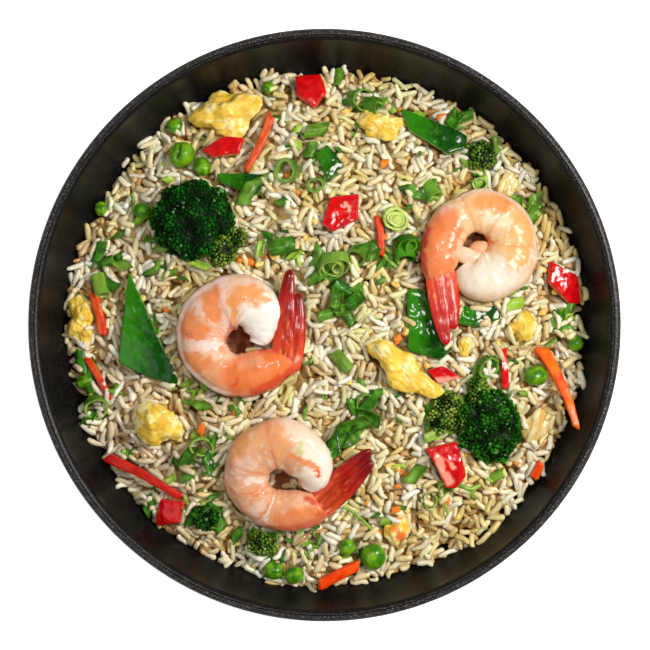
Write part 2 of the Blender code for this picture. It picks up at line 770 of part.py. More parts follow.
def main():
    clear_scene()
    food = new_collection("shrimp_fried_rice")
    cutters = new_collection("cutters")
    make_bowl(food)
    shrimps, others = make_toppings(food)
    bpy.context.view_layer.update()
    rice = make_rice(food, beds_of(shrimps + others))
    for obj in shrimps:
        add_mould(obj, cutters)
    for obj in others:
        add_pocket(obj, cutters)
    for cutter in cutters.objects:
        pocket = rice.modifiers.new(cutter.name, "BOOLEAN")
        pocket.operation = "DIFFERENCE"
        pocket.solver = "MANIFOLD"
        pocket.object = cutter
    plainer = rice.modifiers.new("plainer", "DECIMATE")
    plainer.decimate_type = "DISSOLVE"
    plainer.angle_limit = math.radians(PLAINER_ANGLE)


main()
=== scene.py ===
"""Shrimp fried rice in its black bowl, with every grain, topping and herb at its true size.

Shapes are worked out in millimetres and scaled to metres when their mesh is made. The
toppings are laid on the mound first. A height map of what lies there then says where the
grains of rice can fall, over a core that is smaller than the CAD's heap.
"""

import math
import random

import bmesh
import bpy
import numpy as np
from mathutils import Euler, Matrix, Vector, noise
from mathutils.bvhtree import BVHTree


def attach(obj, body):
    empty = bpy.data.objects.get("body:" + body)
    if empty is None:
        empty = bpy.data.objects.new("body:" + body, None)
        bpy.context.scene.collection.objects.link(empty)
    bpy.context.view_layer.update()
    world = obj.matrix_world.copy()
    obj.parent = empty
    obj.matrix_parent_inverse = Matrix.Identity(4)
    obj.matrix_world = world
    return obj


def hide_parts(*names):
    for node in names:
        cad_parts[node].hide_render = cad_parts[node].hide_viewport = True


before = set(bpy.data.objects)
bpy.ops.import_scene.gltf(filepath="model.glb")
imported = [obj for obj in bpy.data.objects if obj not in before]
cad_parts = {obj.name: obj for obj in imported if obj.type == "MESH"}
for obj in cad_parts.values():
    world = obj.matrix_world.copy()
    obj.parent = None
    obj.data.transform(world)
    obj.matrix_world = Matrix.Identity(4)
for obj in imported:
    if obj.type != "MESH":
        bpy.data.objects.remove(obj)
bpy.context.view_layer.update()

MM = 0.001
TAU = 2 * math.pi
UPWARD = np.array([0, 0, 1.0])
RNG = np.random.default_rng(23)
DICE = random.Random(5)

# ---------------------------------------------------------------- the bowl and the heap
BOWL_RADIUS = 112.5
BOWL_HEIGHT = 64.0
WALL = 4.5
FOOT_RADIUS = 50.0
FOOT_WIDTH = 5.0
FOOT_HEIGHT = 5.0
FLOOR_Z = 9.0
FLOOR_RADIUS = 42.0
BOWL_TURNS = 160
WALL_STEPS = 30
LIP_STEPS = 10

CROWN_Z = 60.0
EDGE_Z = 44.0
EDGE_WAVE = 2.6
HEAP_POWER = 2.4

# ---------------------------------------------------------------- the grains
CELL = 0.45
REACH = 110.0
RIM_CELLS = 2
CORE_DEPTH = 3.5
CLUMP_RISE = 2.0
GRAIN_LENGTH = (5.8, 8.2)
BROKEN_LENGTH = (3.4, 5.2)
BROKEN_SHARE = 0.22
GRAIN_WIDTH = (1.95, 2.65)
GRAIN_BLUNT = 6.0
GRAIN_STEEP = 0.8
GRAIN_SINK = 1.05
GRAIN_AROUND = 7
GRAIN_SPOTS = (-0.487, -0.40, -0.14, 0.14, 0.40, 0.487)
GRAIN_PIECES = 5
# When a place still takes grains: how far it lacks rice at first, how much more is asked
# each time the misses run out, where the fill ends, and the number of places that ends it
FIRST_LACK, LACK_STEP, LAST_LACK, FEW_PLACES = 0.6, 0.4, 2.3, 150
MISSES, DROPS_PER_LOOK, YAWS_TRIED = 1500, 40, 6
# How far a grain may stand over the heap, and the share that may stand out further
PROUD, PROUD_SHARE, PROUD_MORE = 0.95, 0.12, 1.3

# ---------------------------------------------------------------- the shrimps
SLIM_CURL = (
    # angle round the hole, distance from it, half the depth
    (0, 7.2, 3.0),
    (23, 8.8, 5.4),
    (35, 9.8, 6.6),
    (50, 11.8, 8.4),
    (66, 13.9, 10.0),
    (90, 15.3, 10.5),
    (140, 14.9, 10.4),
    (185, 13.8, 9.6),
    (230, 12.7, 8.2),
    (275, 12.8, 8.0),
    (295, 13.1, 8.4),
    (312, 13.8, 8.4),
    (327, 15.6, 7.5),
    (348, 19.8, 5.3),
)
FULL_CURL = (
    (-8, 11.0, 2.8),
    (8, 12.6, 7.2),
    (22, 13.4, 9.0),
    (45, 14.2, 9.8),
    (85, 15.0, 10.4),
    (130, 14.3, 9.9),
    (188, 12.9, 9.0),
    (233, 11.8, 7.7),
    (278, 12.1, 8.1),
    (305, 13.5, 8.3),
    (325, 16.7, 7.4),
    (338, 19.9, 5.5),
)
CURL_RINGS = 190
CURL_AROUND = 56
SHRIMP_FLATNESS = 0.72
SHRIMP_SEGMENTS = 6
# Lengths on a curl for one radian round it, and from its middle line to its side
MARK_SPAN = (14.0, 8.5)
TAIL_ROWS = 80
TAIL_AROUND = 56
TAIL_HALF_WIDTH = 3.9
TAIL_FLATNESS = 0.44
TAIL_ROOT = 4.5
TAIL_SPREAD = 2.1

# Each row of the tables below: place on the heap (x, y), lift over it, its turn or lean in
# degrees, then its shape
SHRIMPS = (
    # curl, x, y, lift, turn, scale, turn of the tail, lengths of its left and right lobe
    (SLIM_CURL, -32.7, -6.4, 3.1, -5, 1.0, 11, (37.5, 29.0)),
    (FULL_CURL, -17.4, -58.9, 3.6, -8, 0.95, -16, (35.0, 32.0)),
    (FULL_CURL, 57.4, 31.2, 3.8, 245, 0.97, -34, (26.0, 31.5)),
)
SHRIMP_BASES = ((236, 192, 162), (230, 168, 126), (244, 196, 144))
# Marks on each shrimp: from (angle, place across: 1 outside, -1 at the hole), to, half
# width, colour and strength
SHRIMP_MARKS = (
    (
        ((2, 0.0), (60, 0.3), 7.0, (250, 246, 238), 1.0),
        ((62, -0.7), (36, -0.6), 3.4, (248, 236, 222), 0.95),
        ((74, 0.55), (97, 0.15), 3.0, (238, 158, 84), 0.95),
        ((97, 0.1), (101, -0.7), 1.9, (238, 156, 92), 0.9),
        ((106, 0.9), (122, -0.7), 1.7, (240, 206, 188), 0.85),
        ((123, 0.45), (137, -0.2), 3.1, (236, 142, 80), 0.95),
        ((147, 0.75), (151, 0.35), 2.5, (234, 202, 184), 0.9),
        ((161, 0.55), (168, 0.0), 3.6, (236, 140, 78), 0.95),
        ((150, -0.55), (166, -0.75), 1.8, (240, 176, 146), 0.8),
        ((172, 0.45), (186, -0.2), 0.5, (222, 104, 56), 0.9),
        ((192, -0.1), (198, -0.6), 2.3, (248, 222, 210), 0.95),
        ((205, 0.55), (224, 0.1), 3.3, (236, 140, 74), 0.95),
        ((214, -0.6), (226, -0.8), 1.2, (238, 150, 96), 0.8),
        ((240, 0.3), (249, -0.3), 4.2, (236, 166, 116), 0.85),
        ((262, 0.6), (268, -0.7), 0.8, (242, 200, 172), 0.8),
        ((282, 0.0), (345, 0.0), 9.0, (238, 124, 60), 1.0),
        ((284, -0.5), (316, -0.5), 2.3, (240, 164, 122), 0.75),
        ((296, 0.1), (318, 0.2), 2.2, (242, 146, 88), 0.6),
        ((272, 0.5), (276, 0.2), 0.9, (226, 84, 36), 0.8),
        ((296, 0.86), (350, 0.8), 2.4, (216, 70, 30), 0.9),
        ((326, -0.95), (345, -0.7), 1.3, (220, 72, 40), 0.8),
        ((268, 1.06), (340, 1.06), 0.9, (140, 26, 26), 0.9),
        ((96, -1.0), (205, -1.0), 1.2, (206, 98, 78), 0.7),
    ),
    (
        ((8, 0.3), (52, 0.5), 5.6, (250, 238, 222), 1.0),
        ((14, -0.3), (4, 0.0), 4.6, (246, 226, 206), 0.95),
        ((84, 0.8), (56, 0.75), 3.2, (246, 222, 198), 0.85),
        ((98, -0.3), (99, 0.5), 3.3, (240, 168, 108), 0.85),
        ((73, -0.26), (24, 0.4), 1.2, (240, 142, 70), 0.9),
        ((26, 0.36), (20, 0.45), 0.6, (222, 84, 40), 0.9),
        ((67, 0.2), (69, 0.3), 1.1, (210, 206, 124), 0.9),
        ((138, 0.78), (152, 0.4), 2.4, (240, 162, 92), 0.85),
        ((119, 0.55), (124, 0.3), 1.9, (244, 180, 120), 0.7),
        ((150, -0.1), (162, 0.2), 3.0, (240, 200, 178), 0.8),
        ((181, -0.2), (187, -0.65), 2.3, (248, 222, 208), 0.95),
        ((196, 0.8), (214, -0.4), 0.55, (226, 128, 74), 0.8),
        ((206, 0.2), (236, -0.75), 0.5, (230, 134, 82), 0.8),
        ((238, 0.4), (244, -0.2), 2.4, (242, 204, 184), 0.8),
        ((254, 0.5), (254, -0.85), 0.75, (236, 142, 82), 0.9),
        ((262, 0.7), (262, -0.85), 0.8, (250, 222, 200), 0.9),
        ((284, 0.3), (330, 0.1), 3.8, (238, 138, 78), 0.85),
        ((284, -0.5), (312, -0.5), 1.6, (240, 172, 130), 0.7),
        ((270, 0.86), (345, 0.7), 2.0, (226, 104, 64), 0.85),
        ((330, -0.6), (340, -0.2), 1.5, (212, 62, 40), 0.85),
        ((336, 0.4), (346, 0.4), 2.2, (224, 90, 48), 0.8),
        ((250, 1.08), (345, 1.05), 0.8, (186, 54, 40), 0.7),
    ),
    (
        ((2, 0.0), (62, 0.1), 7.4, (240, 226, 206), 1.0),
        ((15, -0.9), (52, -0.9), 1.3, (252, 240, 226), 0.95),
        ((92, 0.1), (134, 0.35), 4.8, (244, 178, 104), 0.9),
        ((168, 0.45), (197, 0.3), 3.4, (242, 158, 84), 0.9),
        ((112, -0.5), (120, -0.3), 2.0, (246, 196, 138), 0.7),
        ((150, -0.1), (188, -0.4), 2.3, (254, 226, 190), 0.9),
        ((118, -0.95), (152, -0.95), 1.2, (236, 116, 54), 0.9),
        ((112, 0.9), (74, 0.35), 0.7, (252, 228, 206), 0.85),
        ((96, 0.55), (80, 0.35), 0.5, (236, 160, 96), 0.7),
        ((216, 0.2), (226, -0.2), 2.4, (244, 176, 112), 0.7),
        ((248, 0.75), (264, 0.5), 2.4, (242, 216, 196), 0.95),
        ((240, -0.2), (252, -0.5), 2.4, (248, 206, 166), 0.8),
        ((276, 0.1), (345, 0.0), 8.6, (240, 128, 68), 0.95),
        ((266, -0.7), (312, -0.75), 1.5, (250, 200, 168), 0.85),
        ((286, 0.1), (306, 0.0), 1.8, (248, 158, 100), 0.6),
        ((282, 0.98), (345, 0.98), 1.4, (212, 48, 34), 0.9),
    ),
)
# Holes of the curls, with no grains in them; the core below is painted reddish brown, the juice's
# colour darkened as painted shade in the hollow: x, y, radius
SHRIMP_HOLES = ((-32.8, -6.8, 6.0), (-16.6, -59.6, 3.6), (56.8, 30.2, 4.8))
# Flesh folded into the hole of the third curl: x, y, lift, turn, radii, colour
SHRIMP_FOLDS = (
    (58.8, 28.8, 3.4, 30, (4.0, 3.2, 2.6), (240, 176, 130)),
    (54.6, 26.2, 3.8, -8, (5.6, 3.4, 3.0), (246, 208, 180)),
)
# Each pale band along the back: first and last angle, strength
SHRIMP_BANDS = ((98, 275, 1.0), (150, 240, 0.35), (84, 238, 0.9))
# Tail colours: near the joint, its middle, its tip, its pale ridges
TAIL_TINTS = (
    ((224, 66, 18), (182, 14, 2), (118, 0, 4), (240, 110, 46)),
    ((214, 76, 28), (176, 18, 4), (124, 0, 6), (236, 104, 34)),
    ((232, 76, 34), (210, 28, 12), (184, 2, 10), (248, 136, 84)),
)

# ---------------------------------------------------------------- the toppings
BROCCOLI = (
    # x, y, lift, turn, radii of the crown, stem length and radius, way of the stem, florets,
    # darkest and lightest buds
    (-50.0, 40.0, 1.5, 0, (15.0, 14.2, 9.5), (9, 5), -52, 26, (1, 34, 4), (26, 116, 18)),
    (62.6, -38.2, 1.0, 20, (11.2, 14.0, 9.0), (16, 3.6), 141, 26, (3, 44, 3), (52, 140, 18)),
    (60.0, 64.6, 0.5, 0, (5.2, 5.4, 4.2), (8, 1.8), -80, 10, (34, 88, 12), (150, 182, 74)),
    (-45.2, -73.0, 0.0, 0, (5.6, 4.8, 4.2), (6, 1.8), 100, 10, (8, 54, 6), (52, 118, 18)),
    (-23.7, -83.5, 0.8, 0, (5.2, 4.4, 4.0), (5, 1.6), 90, 10, (60, 116, 18), (172, 198, 78)),
)
TIP_TINTS = ((40, 96, 12), (168, 194, 78))
FLORET_TURN = 137.5
BUD_TURN = 137.50776
BUD_AREA = 1.35
BUD_SIZE = (0.45, 0.85)
# Share of buds tinted paler as painted glints
GLINT_BUDS = 0.04
# Paler tips that only show beside the larger crowns
FLORET_TIPS = (
    # x, y, lift, turn, radii, stem length and radius, way of the stem, florets
    (47.2, -30.4, 1.2, 0, (5.6, 4.6, 4.2), (7, 1.5), -20, 9),
    (43.6, -36, 0.8, 30, (4.2, 4.4, 3.6), (7, 1.4), 10, 8),
    (51, -37.4, 1.6, 10, (3.6, 3.4, 3.4), (6, 1.2), 20, 7),
    (58.4, -24.6, 1.6, 0, (3.6, 5, 4), (6, 1.4), -80, 8),
    (-39.4, 28.4, 1.4, 0, (4.8, 5.6, 4.2), (7, 1.6), 120, 9),
    (-33.8, 33, 1, 0, (3.4, 3.8, 3.2), (6, 1.2), 150, 7),
)
# Points round the edge of a flat cut
OUTLINE_POINTS = 96
SNOW_PEAS = (
    # x, y, lift, (roll, pitch), corners round the piece, thickness, crown
    (-69.5, -5.5, 0.6, (0, 4),
     ((-5.3, 26.3), (-7.2, 8), (-9, -9), (3, -14.5), (15, -17.5), (6, 3)), 2.6, 2.6),
    (42.6, 71.4, 1.6, (0, 0),
     ((-13.6, 11.9), (12.2, 0.9), (10.7, -4.4), (4.6, -7.0), (-10.2, 2.5)), 2.4, 2.0),
    (38.9, -1.9, 0.0, (0, 0),
     ((-7.4, 15.5), (-1.5, 15.0), (4.9, 3.6), (9.6, -8.0), (4.9, -11.2), (-7.4, -7.8)), 2.4, 2.0),
    (58.0, 3.6, -0.6, (-8, 0),
     ((-8.5, 3.4), (9.5, 3.4), (9.0, -1.5), (-1.4, -4.6), (-8.0, -3.0)), 2.2, 0.8),
    (-31.4, 53.9, 0.6, (0, 0),
     ((-9.5, 4.1), (9.1, 3.3), (9.8, -1.6), (4.7, -5.0), (-9.0, 0.6)), 2.2, 1.0),
    (2.5, 61.5, 0.8, (0, 8),
     ((-5.8, 3.4), (-1.5, 7.4), (4.7, -0.2), (3.7, -3.0), (-1.1, -7.5)), 2.2, 1.0),
)
RED_PEPPERS = (
    (-5.3, 89.0, 1.6, (0, 0),
     ((-6.1, 6.4), (3.7, 7.5), (6.2, -0.5), (1.5, -6.5), (-5.4, -1.6)), 3.2, 1.6),
    (-38.0, 68.0, 2.6, (0, 0),
     ((-9.0, -1.4), (-0.5, 3.8), (7.6, 3.2), (5.6, -3.0), (-4.6, -4.3)), 3.0, 1.2),
    (5.3, 42.4, 1.8, (0, 0),
     ((-3.1, 6.1), (7.8, 7.5), (7.4, -2.5), (-2.3, -7.3), (-6.4, -4.4)), 3.2, 1.6),
    (91.8, 16.0, 1.8, (0, 4),
     ((-6.2, 8.4), (5.0, 2.8), (6.6, -8.0), (1.2, -7.6), (-7.0, 0.2)), 3.0, 1.6),
    (47.2, -54.5, 1.9, (0, 0),
     ((-9.0, 7.6), (2.8, 10.4), (6.9, -2.7), (2.6, -7.6), (-1.2, -7.4), (-4.4, -0.4)), 3.2, 1.8),
    (44.8, -18.6, 1.6, (0, 0), ((-6.0, 1.5), (-0.0, 3.2), (7.3, -1.4), (-1.8, -3.6)), 3.0, 0.8),
    (-59.0, -71.5, 1.2, (0, 0), ((-3.8, 5.2), (5.7, 4.3), (4.1, -3.9), (-5.9, -5.6)), 3.2, 1.4),
    (68.4, -16.6, 1.1, (0, 0), ((-1.4, 7.6), (0.9, 7.8), (1.9, -7.4), (-0.9, -7.9)), 2.2, 0.3),
)
# Pale flesh with a painted wet highlight on the peppers: piece, from, to, half width
PEPPER_FLESH_AND_SHINE = (
    (5, (-4.6, 4.4), (-0.2, -5.4), 1.5),
    (5, (-0.6, 3.0), (1.0, 0.4), 0.7),
    (6, (-2.4, -2.4), (5.6, -2.4), 1.3),
    (3, (3.0, 3.4), (4.6, 1.0), 0.5),
    (8, (-0.2, 5.0), (0.2, -1.0), 0.5),
)
SCALLION_LEAVES = (
    (1.2, 22.0, 1.0, (0, 0),
     ((-7.4, 2.6), (-1.0, 5.6), (4.4, 3.0), (2.2, -2.6), (-3.8, -5.6)), 1.8, 1.4),
    (34.4, 50.4, 1.0, (0, 0),
     ((-8.2, 2.9), (-2.0, 3.2), (6.6, -0.4), (7.0, -3.6), (-1.0, -2.2)), 2.0, 1.2),
    (9.3, -41.4, 1.0, (0, 0),
     ((-6.8, -1.0), (-1.5, 4.6), (6.6, 5.4), (4.8, -2.6), (-2.2, -6.2)), 1.8, 1.4),
)
CARROTS = (
    # x, y, lift, (turn, rise of the far end), length, width, thickness, (bow up, sideways),
    # taper, darkest and lightest tint
    (89.4, -24.1, 5.2, (-71, 19.5), 34.0, 5.4, 3.0, (1.2, 1.2), 0.55, (248, 70, 0), (255, 124, 8)),
    (-69.2, -58.2, 4.3, (-28, -8), 33.0, 3.8, 2.6, (0.8, 1.0), 0.25, (190, 12, 2), (220, 40, 8)),
    (5.4, -95.6, 3.6, (26, -4), 17.5, 4.4, 3.2, (0.4, 0.3), 0.10, (236, 50, 0), (255, 98, 8)),
    (-86.6, 4.4, 1.4, (-76, 0), 17.0, 3.8, 2.6, (0.5, 0.6), 0.15, (214, 46, 4), (240, 90, 20)),
    (-86.6, -20.5, 1.4, (-61, 0), 18.0, 3.0, 2.4, (0.4, 0.5), 0.20, (214, 42, 4), (238, 86, 20)),
    (-25.3, 69.6, 1.7, (-113, 0), 24.0, 3.4, 2.4, (0.8, 1.2), 0.25, (214, 64, 22), (238, 112, 58)),
    (81.4, -55.6, 4.0, (69, 6), 7.0, 3.6, 2.8, (0.1, 0.0), 0.10, (230, 60, 4), (248, 108, 24)),
    (20.8, 33.8, 1.0, (-86, 0), 15.0, 2.8, 2.4, (0.4, 0.5), 0.10, (214, 36, 4), (236, 72, 18)),
)
EGGS = (
    # x, y, lift, turn, radii, depth of the folds, size of the folds
    (-37.0, 81.0, 1.8, 8, (11.8, 8.0, 5.2), 0.30, 7.0),
    (-93.0, 1.8, 1.0, 90, (8.6, 5.6, 4.2), 0.22, 4.5),
    (-63.6, -37.9, 2.0, 15, (9.2, 8.4, 5.6), 0.18, 7.0),
    (28.8, -16.8, 1.6, -42, (16.2, 5.6, 4.0), 0.28, 6.0),
    (21.8, 76.6, 0.8, -10, (8.4, 5.4, 4.2), 0.26, 5.0),
    (75.8, -1.0, 0.4, 80, (5.4, 4.6, 3.6), 0.24, 4.0),
    (27.2, -78.8, 0.8, 60, (5.4, 4.2, 3.4), 0.22, 4.0),
    (53.2, -7.5, 0.6, 90, (4.2, 2.6, 2.8), 0.20, 4.0),
)
# Eggs with bits of carrot cooked into them
ORANGE_EGGS = (7,)
ONIONS = (
    (81.0, -39.0, 0.8, 75, (7.0, 5.2, 3.4), 0.12, 6.0),
    (69.6, 53.6, 0.6, 60, (5.4, 4.0, 3.0), 0.12, 5.0),
)
PEAS = (
    # x, y, lift, radius, length over width
    (-54.6, 65.2, 1.8, 5.0, 1.04),
    (-57.4, 76.3, 1.0, 3.3, 1.0),
    (-46.8, 60.4, 1.0, 3.3, 1.2),
    (-19.4, -94.2, 1.2, 3.7, 1.1),
    (-11.6, -95.8, 3.0, 3.3, 1.2),
    (8.8, -84.9, 1.2, 3.1, 1.1),
    (18.6, -88.6, 1.6, 4.9, 1.05),
    (96.2, -7.0, 1.2, 3.1, 1.0),
    (80.6, -19.4, 1.4, 3.9, 1.2),
)
# Peas that are too small for the CAD
EXTRA_PEAS = (
    (-21.4, 91.1, 1.0, 2.5, 1.1),
    (-85.8, 44.7, 1.2, 2.6, 1.1),
    (-69.7, 43.6, 1.2, 3.3, 1.15),
    (-92.0, -21.6, 1.2, 2.6, 1.5),
)
SCALLION_RINGS = (
    # x, y, lift, (roll, pitch), outer radius, wall, length, lightness, flattening
    (26.8, 40.4, 1.4, (15, 6), 4.7, 1.2, 5.0, 0.85, 1.0),
    (30.2, 28.2, 0.4, (68, 20), 4.4, 1.1, 8.0, 0.05, 0.9),
    (12.8, 26.6, 0.9, (35, -30), 4.3, 1.0, 5.5, 0.2, 0.8),
    (-14.4, 58.6, 1.2, (10, -14), 4.5, 1.2, 5.0, 0.22, 1.0),
    (-87.4, -31.2, 1.2, (20, 20), 4.6, 1.0, 4.6, 0.3, 1.0),
)

# ---------------------------------------------------------------- herbs and crumbs, only shown
HERB_TUBES = (
    # x, y, lift, turn, (roll, pitch), length, radius, wall, lightness
    (26.8, 40.4, 1.9, 0, (15, 6), 4.8, 3.5, 0.8, 0.9),
    (26.8, 40.4, 2.1, 0, (15, 6), 4.9, 2.8, 1.1, 0.98),
    (26.8, 40.4, 2.2, 0, (15, 6), 5, 1.8, 1.7, 1), (40.1, 51.1, 0.8, 30, (70, 0), 7, 3.2, 0.8, 0.2),
    (14, 86.2, 1.6, 20, (30, 20), 5, 5, 0.8, 0.08),
    (18.6, 84, 1.4, 60, (60, 10), 6, 3.8, 0.7, 0.14),
    (-3.2, 53.4, 0.8, 0, (20, -12), 4, 3.4, 0.9, 0.2),
    (-46.8, -46.2, 0.8, 0, (12, 20), 3.4, 4.6, 0.9, 0.35),
    (-85.8, 15.2, 1.2, 20, (80, 0), 8.6, 3, 0.8, 0.4),
    (61.9, -15.9, 0.8, 20, (20, 10), 3.6, 4.5, 0.9, 0.12),
    (58.9, 53.8, 0.8, 0, (12, 0), 3, 3, 0.8, 0.3),
    (12.9, 12.7, 0.6, -40, (62, 0), 5, 2.6, 0.8, 0.12),
    (15.7, -29.5, 0.8, 0, (20, 14), 2, 4.2, 0.5, 0.25),
    (40, -67, 0.8, 80, (14, 20), 2, 3.4, 0.5, 0.3),
    (3.4, 22.6, 2.2, 30, (40, -24), 5, 5.8, 0.6, 0.34),
    (3.6, 22.8, 2.6, 10, (40, -24), 5.4, 4.2, 0.6, 0.55),
    (3.8, 23, 3, 60, (40, -24), 5.8, 2.6, 0.6, 0.62),
    (31.4, 30.4, 2, 0, (30, 20), 4.4, 4.6, 0.7, 0),
    (31.6, 30.2, 2.4, 40, (34, 16), 4.6, 3, 0.7, 0.05),
    (46, -62, 0.8, 0, (20, 0), 3, 3.2, 0.5, 0.3),
)
HERB_LEAVES = (
    # x, y, lift, turn, length, width, curl, lightness
    (-16, 29.6, 1.2, 12, 10.4, 6.2, 0.5, 0.1), (16.2, 28.8, 1.8, 20, 8, 5, 0.9, 0.12),
    (18.6, 27, 1.2, 70, 6.4, 4.2, 0.8, 0.2), (24.4, 24.6, 1, 80, 6, 2.8, 0.6, 0.1),
    (21.4, 22.6, 1, 50, 5.4, 2.8, 0.6, 0.16), (-2.6, 25, 1.6, 70, 8.6, 5.4, 1.1, 0.16),
    (-3.4, 18.6, 1, 30, 6.6, 4.4, 0.8, 0.18), (6, -42.5, 2.2, 60, 10, 6, 1.2, 0.06),
    (12.4, -38.2, 2.4, 20, 10.5, 5, 1.2, 0.12), (3.6, -46.4, 2, 100, 8, 5, 1, 0.02),
    (16.6, -30.2, 2, 50, 8.4, 4.8, 1.3, 0.05), (11, -31, 1.4, 110, 6.4, 4.2, 1, 0.1),
    (19, -26.4, 1.2, 10, 6, 4, 0.9, 0.14), (8, 14.2, 2.2, -30, 8.6, 5.6, 1.2, 0.03),
    (12, 9, 1.8, 40, 7.6, 5, 1.1, 0.06), (4.4, 9.4, 1.6, 80, 7.4, 4.6, 1, 0.1),
    (0.4, 3.6, 1.2, 20, 6, 4, 0.8, 0.2), (9, 3, 1.4, 120, 6.4, 4.4, 0.9, 0.08),
    (-45.6, -71, 2.2, 30, 9, 5, 1.2, 0.05), (-40.4, -75.5, 2, 100, 7.6, 4.4, 1, 0.1),
    (-50.6, -74.4, 1.4, 60, 6.6, 4, 0.9, 0.04), (-24.4, -84, 2.6, 10, 7.4, 4.2, 1, 0.4),
    (-33, -80, 1.2, 50, 6, 3.6, 0.8, 0.12), (-3.2, 73.5, 1, 10, 8.6, 5.4, 0.9, 0.3),
    (-10.8, 69.7, 0.8, -30, 5.2, 3.2, 0.8, 0.9), (-10.8, 74.6, 0.8, 60, 5, 2.8, 0.8, 0.85),
    (-5, 67, 1.2, 80, 6.4, 4, 0.8, 0.14), (5.5, 95.6, 1.2, 80, 7.4, 3.6, 1, 0.2),
    (6.4, -13.6, 1.4, -50, 9, 5, 1, 0.35), (17.2, -34.9, 1.2, -20, 9, 5.6, 1.2, 0.1),
    (6.6, 5.7, 0.8, 10, 6.4, 4.2, 1, 0.3), (34.7, -56.8, 1.6, 50, 8.4, 4.6, 0.9, 0.25),
    (24.1, -75, 1, 0, 5.4, 3.2, 0.8, 0.5), (65.7, -57.6, 1.2, 30, 5.6, 3.6, 0.8, 0.35),
    (-67.2, -67.4, 1.2, 60, 8.6, 5.4, 1, 0.06), (-77.1, -49.6, 1.2, 20, 5, 3.4, 0.8, 0.3),
    (-46.8, -30.3, 1.2, 10, 6, 4, 0.8, 0.25), (-51, -49.8, 1.4, 60, 8, 4.6, 1, 0.1),
    (-43.4, -52.6, 1.2, 110, 7, 4, 0.9, 0.06), (-52.4, -57.2, 1, 30, 6, 3.6, 0.8, 0.15),
    (-33.9, -32.2, 1, -50, 5, 3, 0.8, 0.25), (72.9, 8.7, 1.2, 10, 7.4, 4.6, 1, 0.85),
    (72.5, 48.5, 1.4, -35, 8.4, 5, 1.2, 0.45), (79.4, 41.3, 1.4, 50, 8.4, 4.6, 1, 0.25),
    (49.6, 78, 1.4, 60, 8, 5, 1, 0.06), (54, 79.6, 1.2, 20, 6.4, 4, 0.9, 0.1),
    (93.4, 5.4, 1.6, 70, 6.4, 3.8, 1, 0.2), (92, -1.6, 1.4, 20, 6.4, 4, 0.9, 0.12),
    (75.9, -26.1, 1, 0, 3.6, 2.4, 0.4, 0.4), (-62.3, 29.9, 1, 20, 5.4, 3.6, 0.8, 0.5),
    (-64.4, 22, 1.2, 60, 6.4, 3.6, 0.9, 0.25), (-58.6, 19.4, 1, 10, 5.4, 3, 0.8, 0.4),
    (-47.2, 22.7, 1.4, -20, 7, 2.8, 0.6, 0.7), (-29.9, 50.2, 3, 66, 10, 5.4, 0.6, 0.25),
    (-24, 56, 1.6, 30, 8, 4, 0.8, 0.15), (-87.4, 28.4, 1.6, 70, 8, 5, 1, 0.05),
    (-84, 24, 1.4, 20, 7, 4, 0.9, 0.1), (-90.6, -22, 1.6, 110, 8, 4.6, 1, 0.05),
    (-90, -36, 1.4, 60, 7, 4, 0.9, 0.1), (-70, 40, 1.2, 40, 6, 3.6, 0.8, 0.3),
    (-24, 29, 1.2, 80, 6, 3.2, 0.8, 0.7), (-84.2, 15.4, 2, 160, 10, 4.4, 0.9, 0.05),
    (-93.4, -14, 2, 100, 9, 5, 1, 0.02), (-89.6, -17.6, 1.6, 60, 7, 4.6, 1, 0.08),
    (-94.4, 4.6, 1.4, 90, 6, 3.4, 0.9, 0.08), (-76.6, 22.6, 1.4, 10, 6, 3.8, 0.8, 0.45),
    (80, 47, 1.4, 80, 6.4, 4.4, 0.9, 0.3), (73, 45, 1.6, 80, 7.4, 4.8, 0.7, 0.25),
    (60, 55, 1.2, 30, 6, 3.6, 0.8, 0.6), (66, 69, 1.4, 100, 7, 3, 0.8, 0.3),
    (22.2, 86, 1, 20, 4.6, 2.8, 0.6, 0.4), (25.8, 83, 1, -50, 4, 2.6, 0.6, 0.5),
)
HERB_STRIPS = (
    # points (x, y) along the strand, width, lift
    (((5.9, -68.9), (11.0, -71.0), (17.0, -77.0), (22.5, -82.6)), 1.3, 1.6),
    (((43.4, -64.6), (46.0, -68.2), (47.2, -72.6)), 1.2, 1.6),
    (((51.0, -60.8), (55.5, -62.9), (60.0, -61.0)), 1.8, 1.4),
    (((55.5, -62.9), (57.6, -66.4)), 1.6, 1.4),
    (((20.6, 28.6), (24.0, 25.0), (27.6, 21.6)), 1.6, 1.2),
    (((22.4, 30.0), (26.0, 26.4), (28.4, 22.8)), 1.3, 1.0),
)
HERB_CLUSTERS = (
    # x, y, spread
    (7.8, 9.5, 5), (2, 24, 5), (17, -30, 6), (-45, -72, 5), (-47, -48, 5), (-47, -26.5, 4),
    (-29, 52, 5), (-9, 66, 4), (0, 62, 4), (17, 85, 5), (38, 49, 5), (30.5, 30, 4), (-17, 29.5, 4),
    (-62, 23, 5), (-87, 28, 4), (-87, -28, 4), (-93, -21, 3), (40, -66, 5), (62.7, -15, 4),
    (91, 2, 4), (55, 66, 4), (78, 45.5, 4), (-55, -62, 5), (-22, -83, 5), (-5.5, -81, 4),
    (36, -26, 4), (-38, -26, 4), (-80, -58, 4), (50, -44, 4), (12, -94, 5),
)
CRUMB_CLUSTERS = (
    (-25, 24, 5), (30, -60, 7), (24, -78, 4), (-8, 36, 6), (74, 2, 5), (26, 76, 5), (-36, 78, 6),
    (84, 20, 4), (30, -14, 6), (62, -50, 8),
)
HERBS = 260
HERB_LIGHTNESS = (0.03, 0.08, 0.14, 0.25, 0.5, 0.85)
SHRED_SHARE = 0.35
CRUMBS = 84
ORANGE_CRUMBS = 0.24
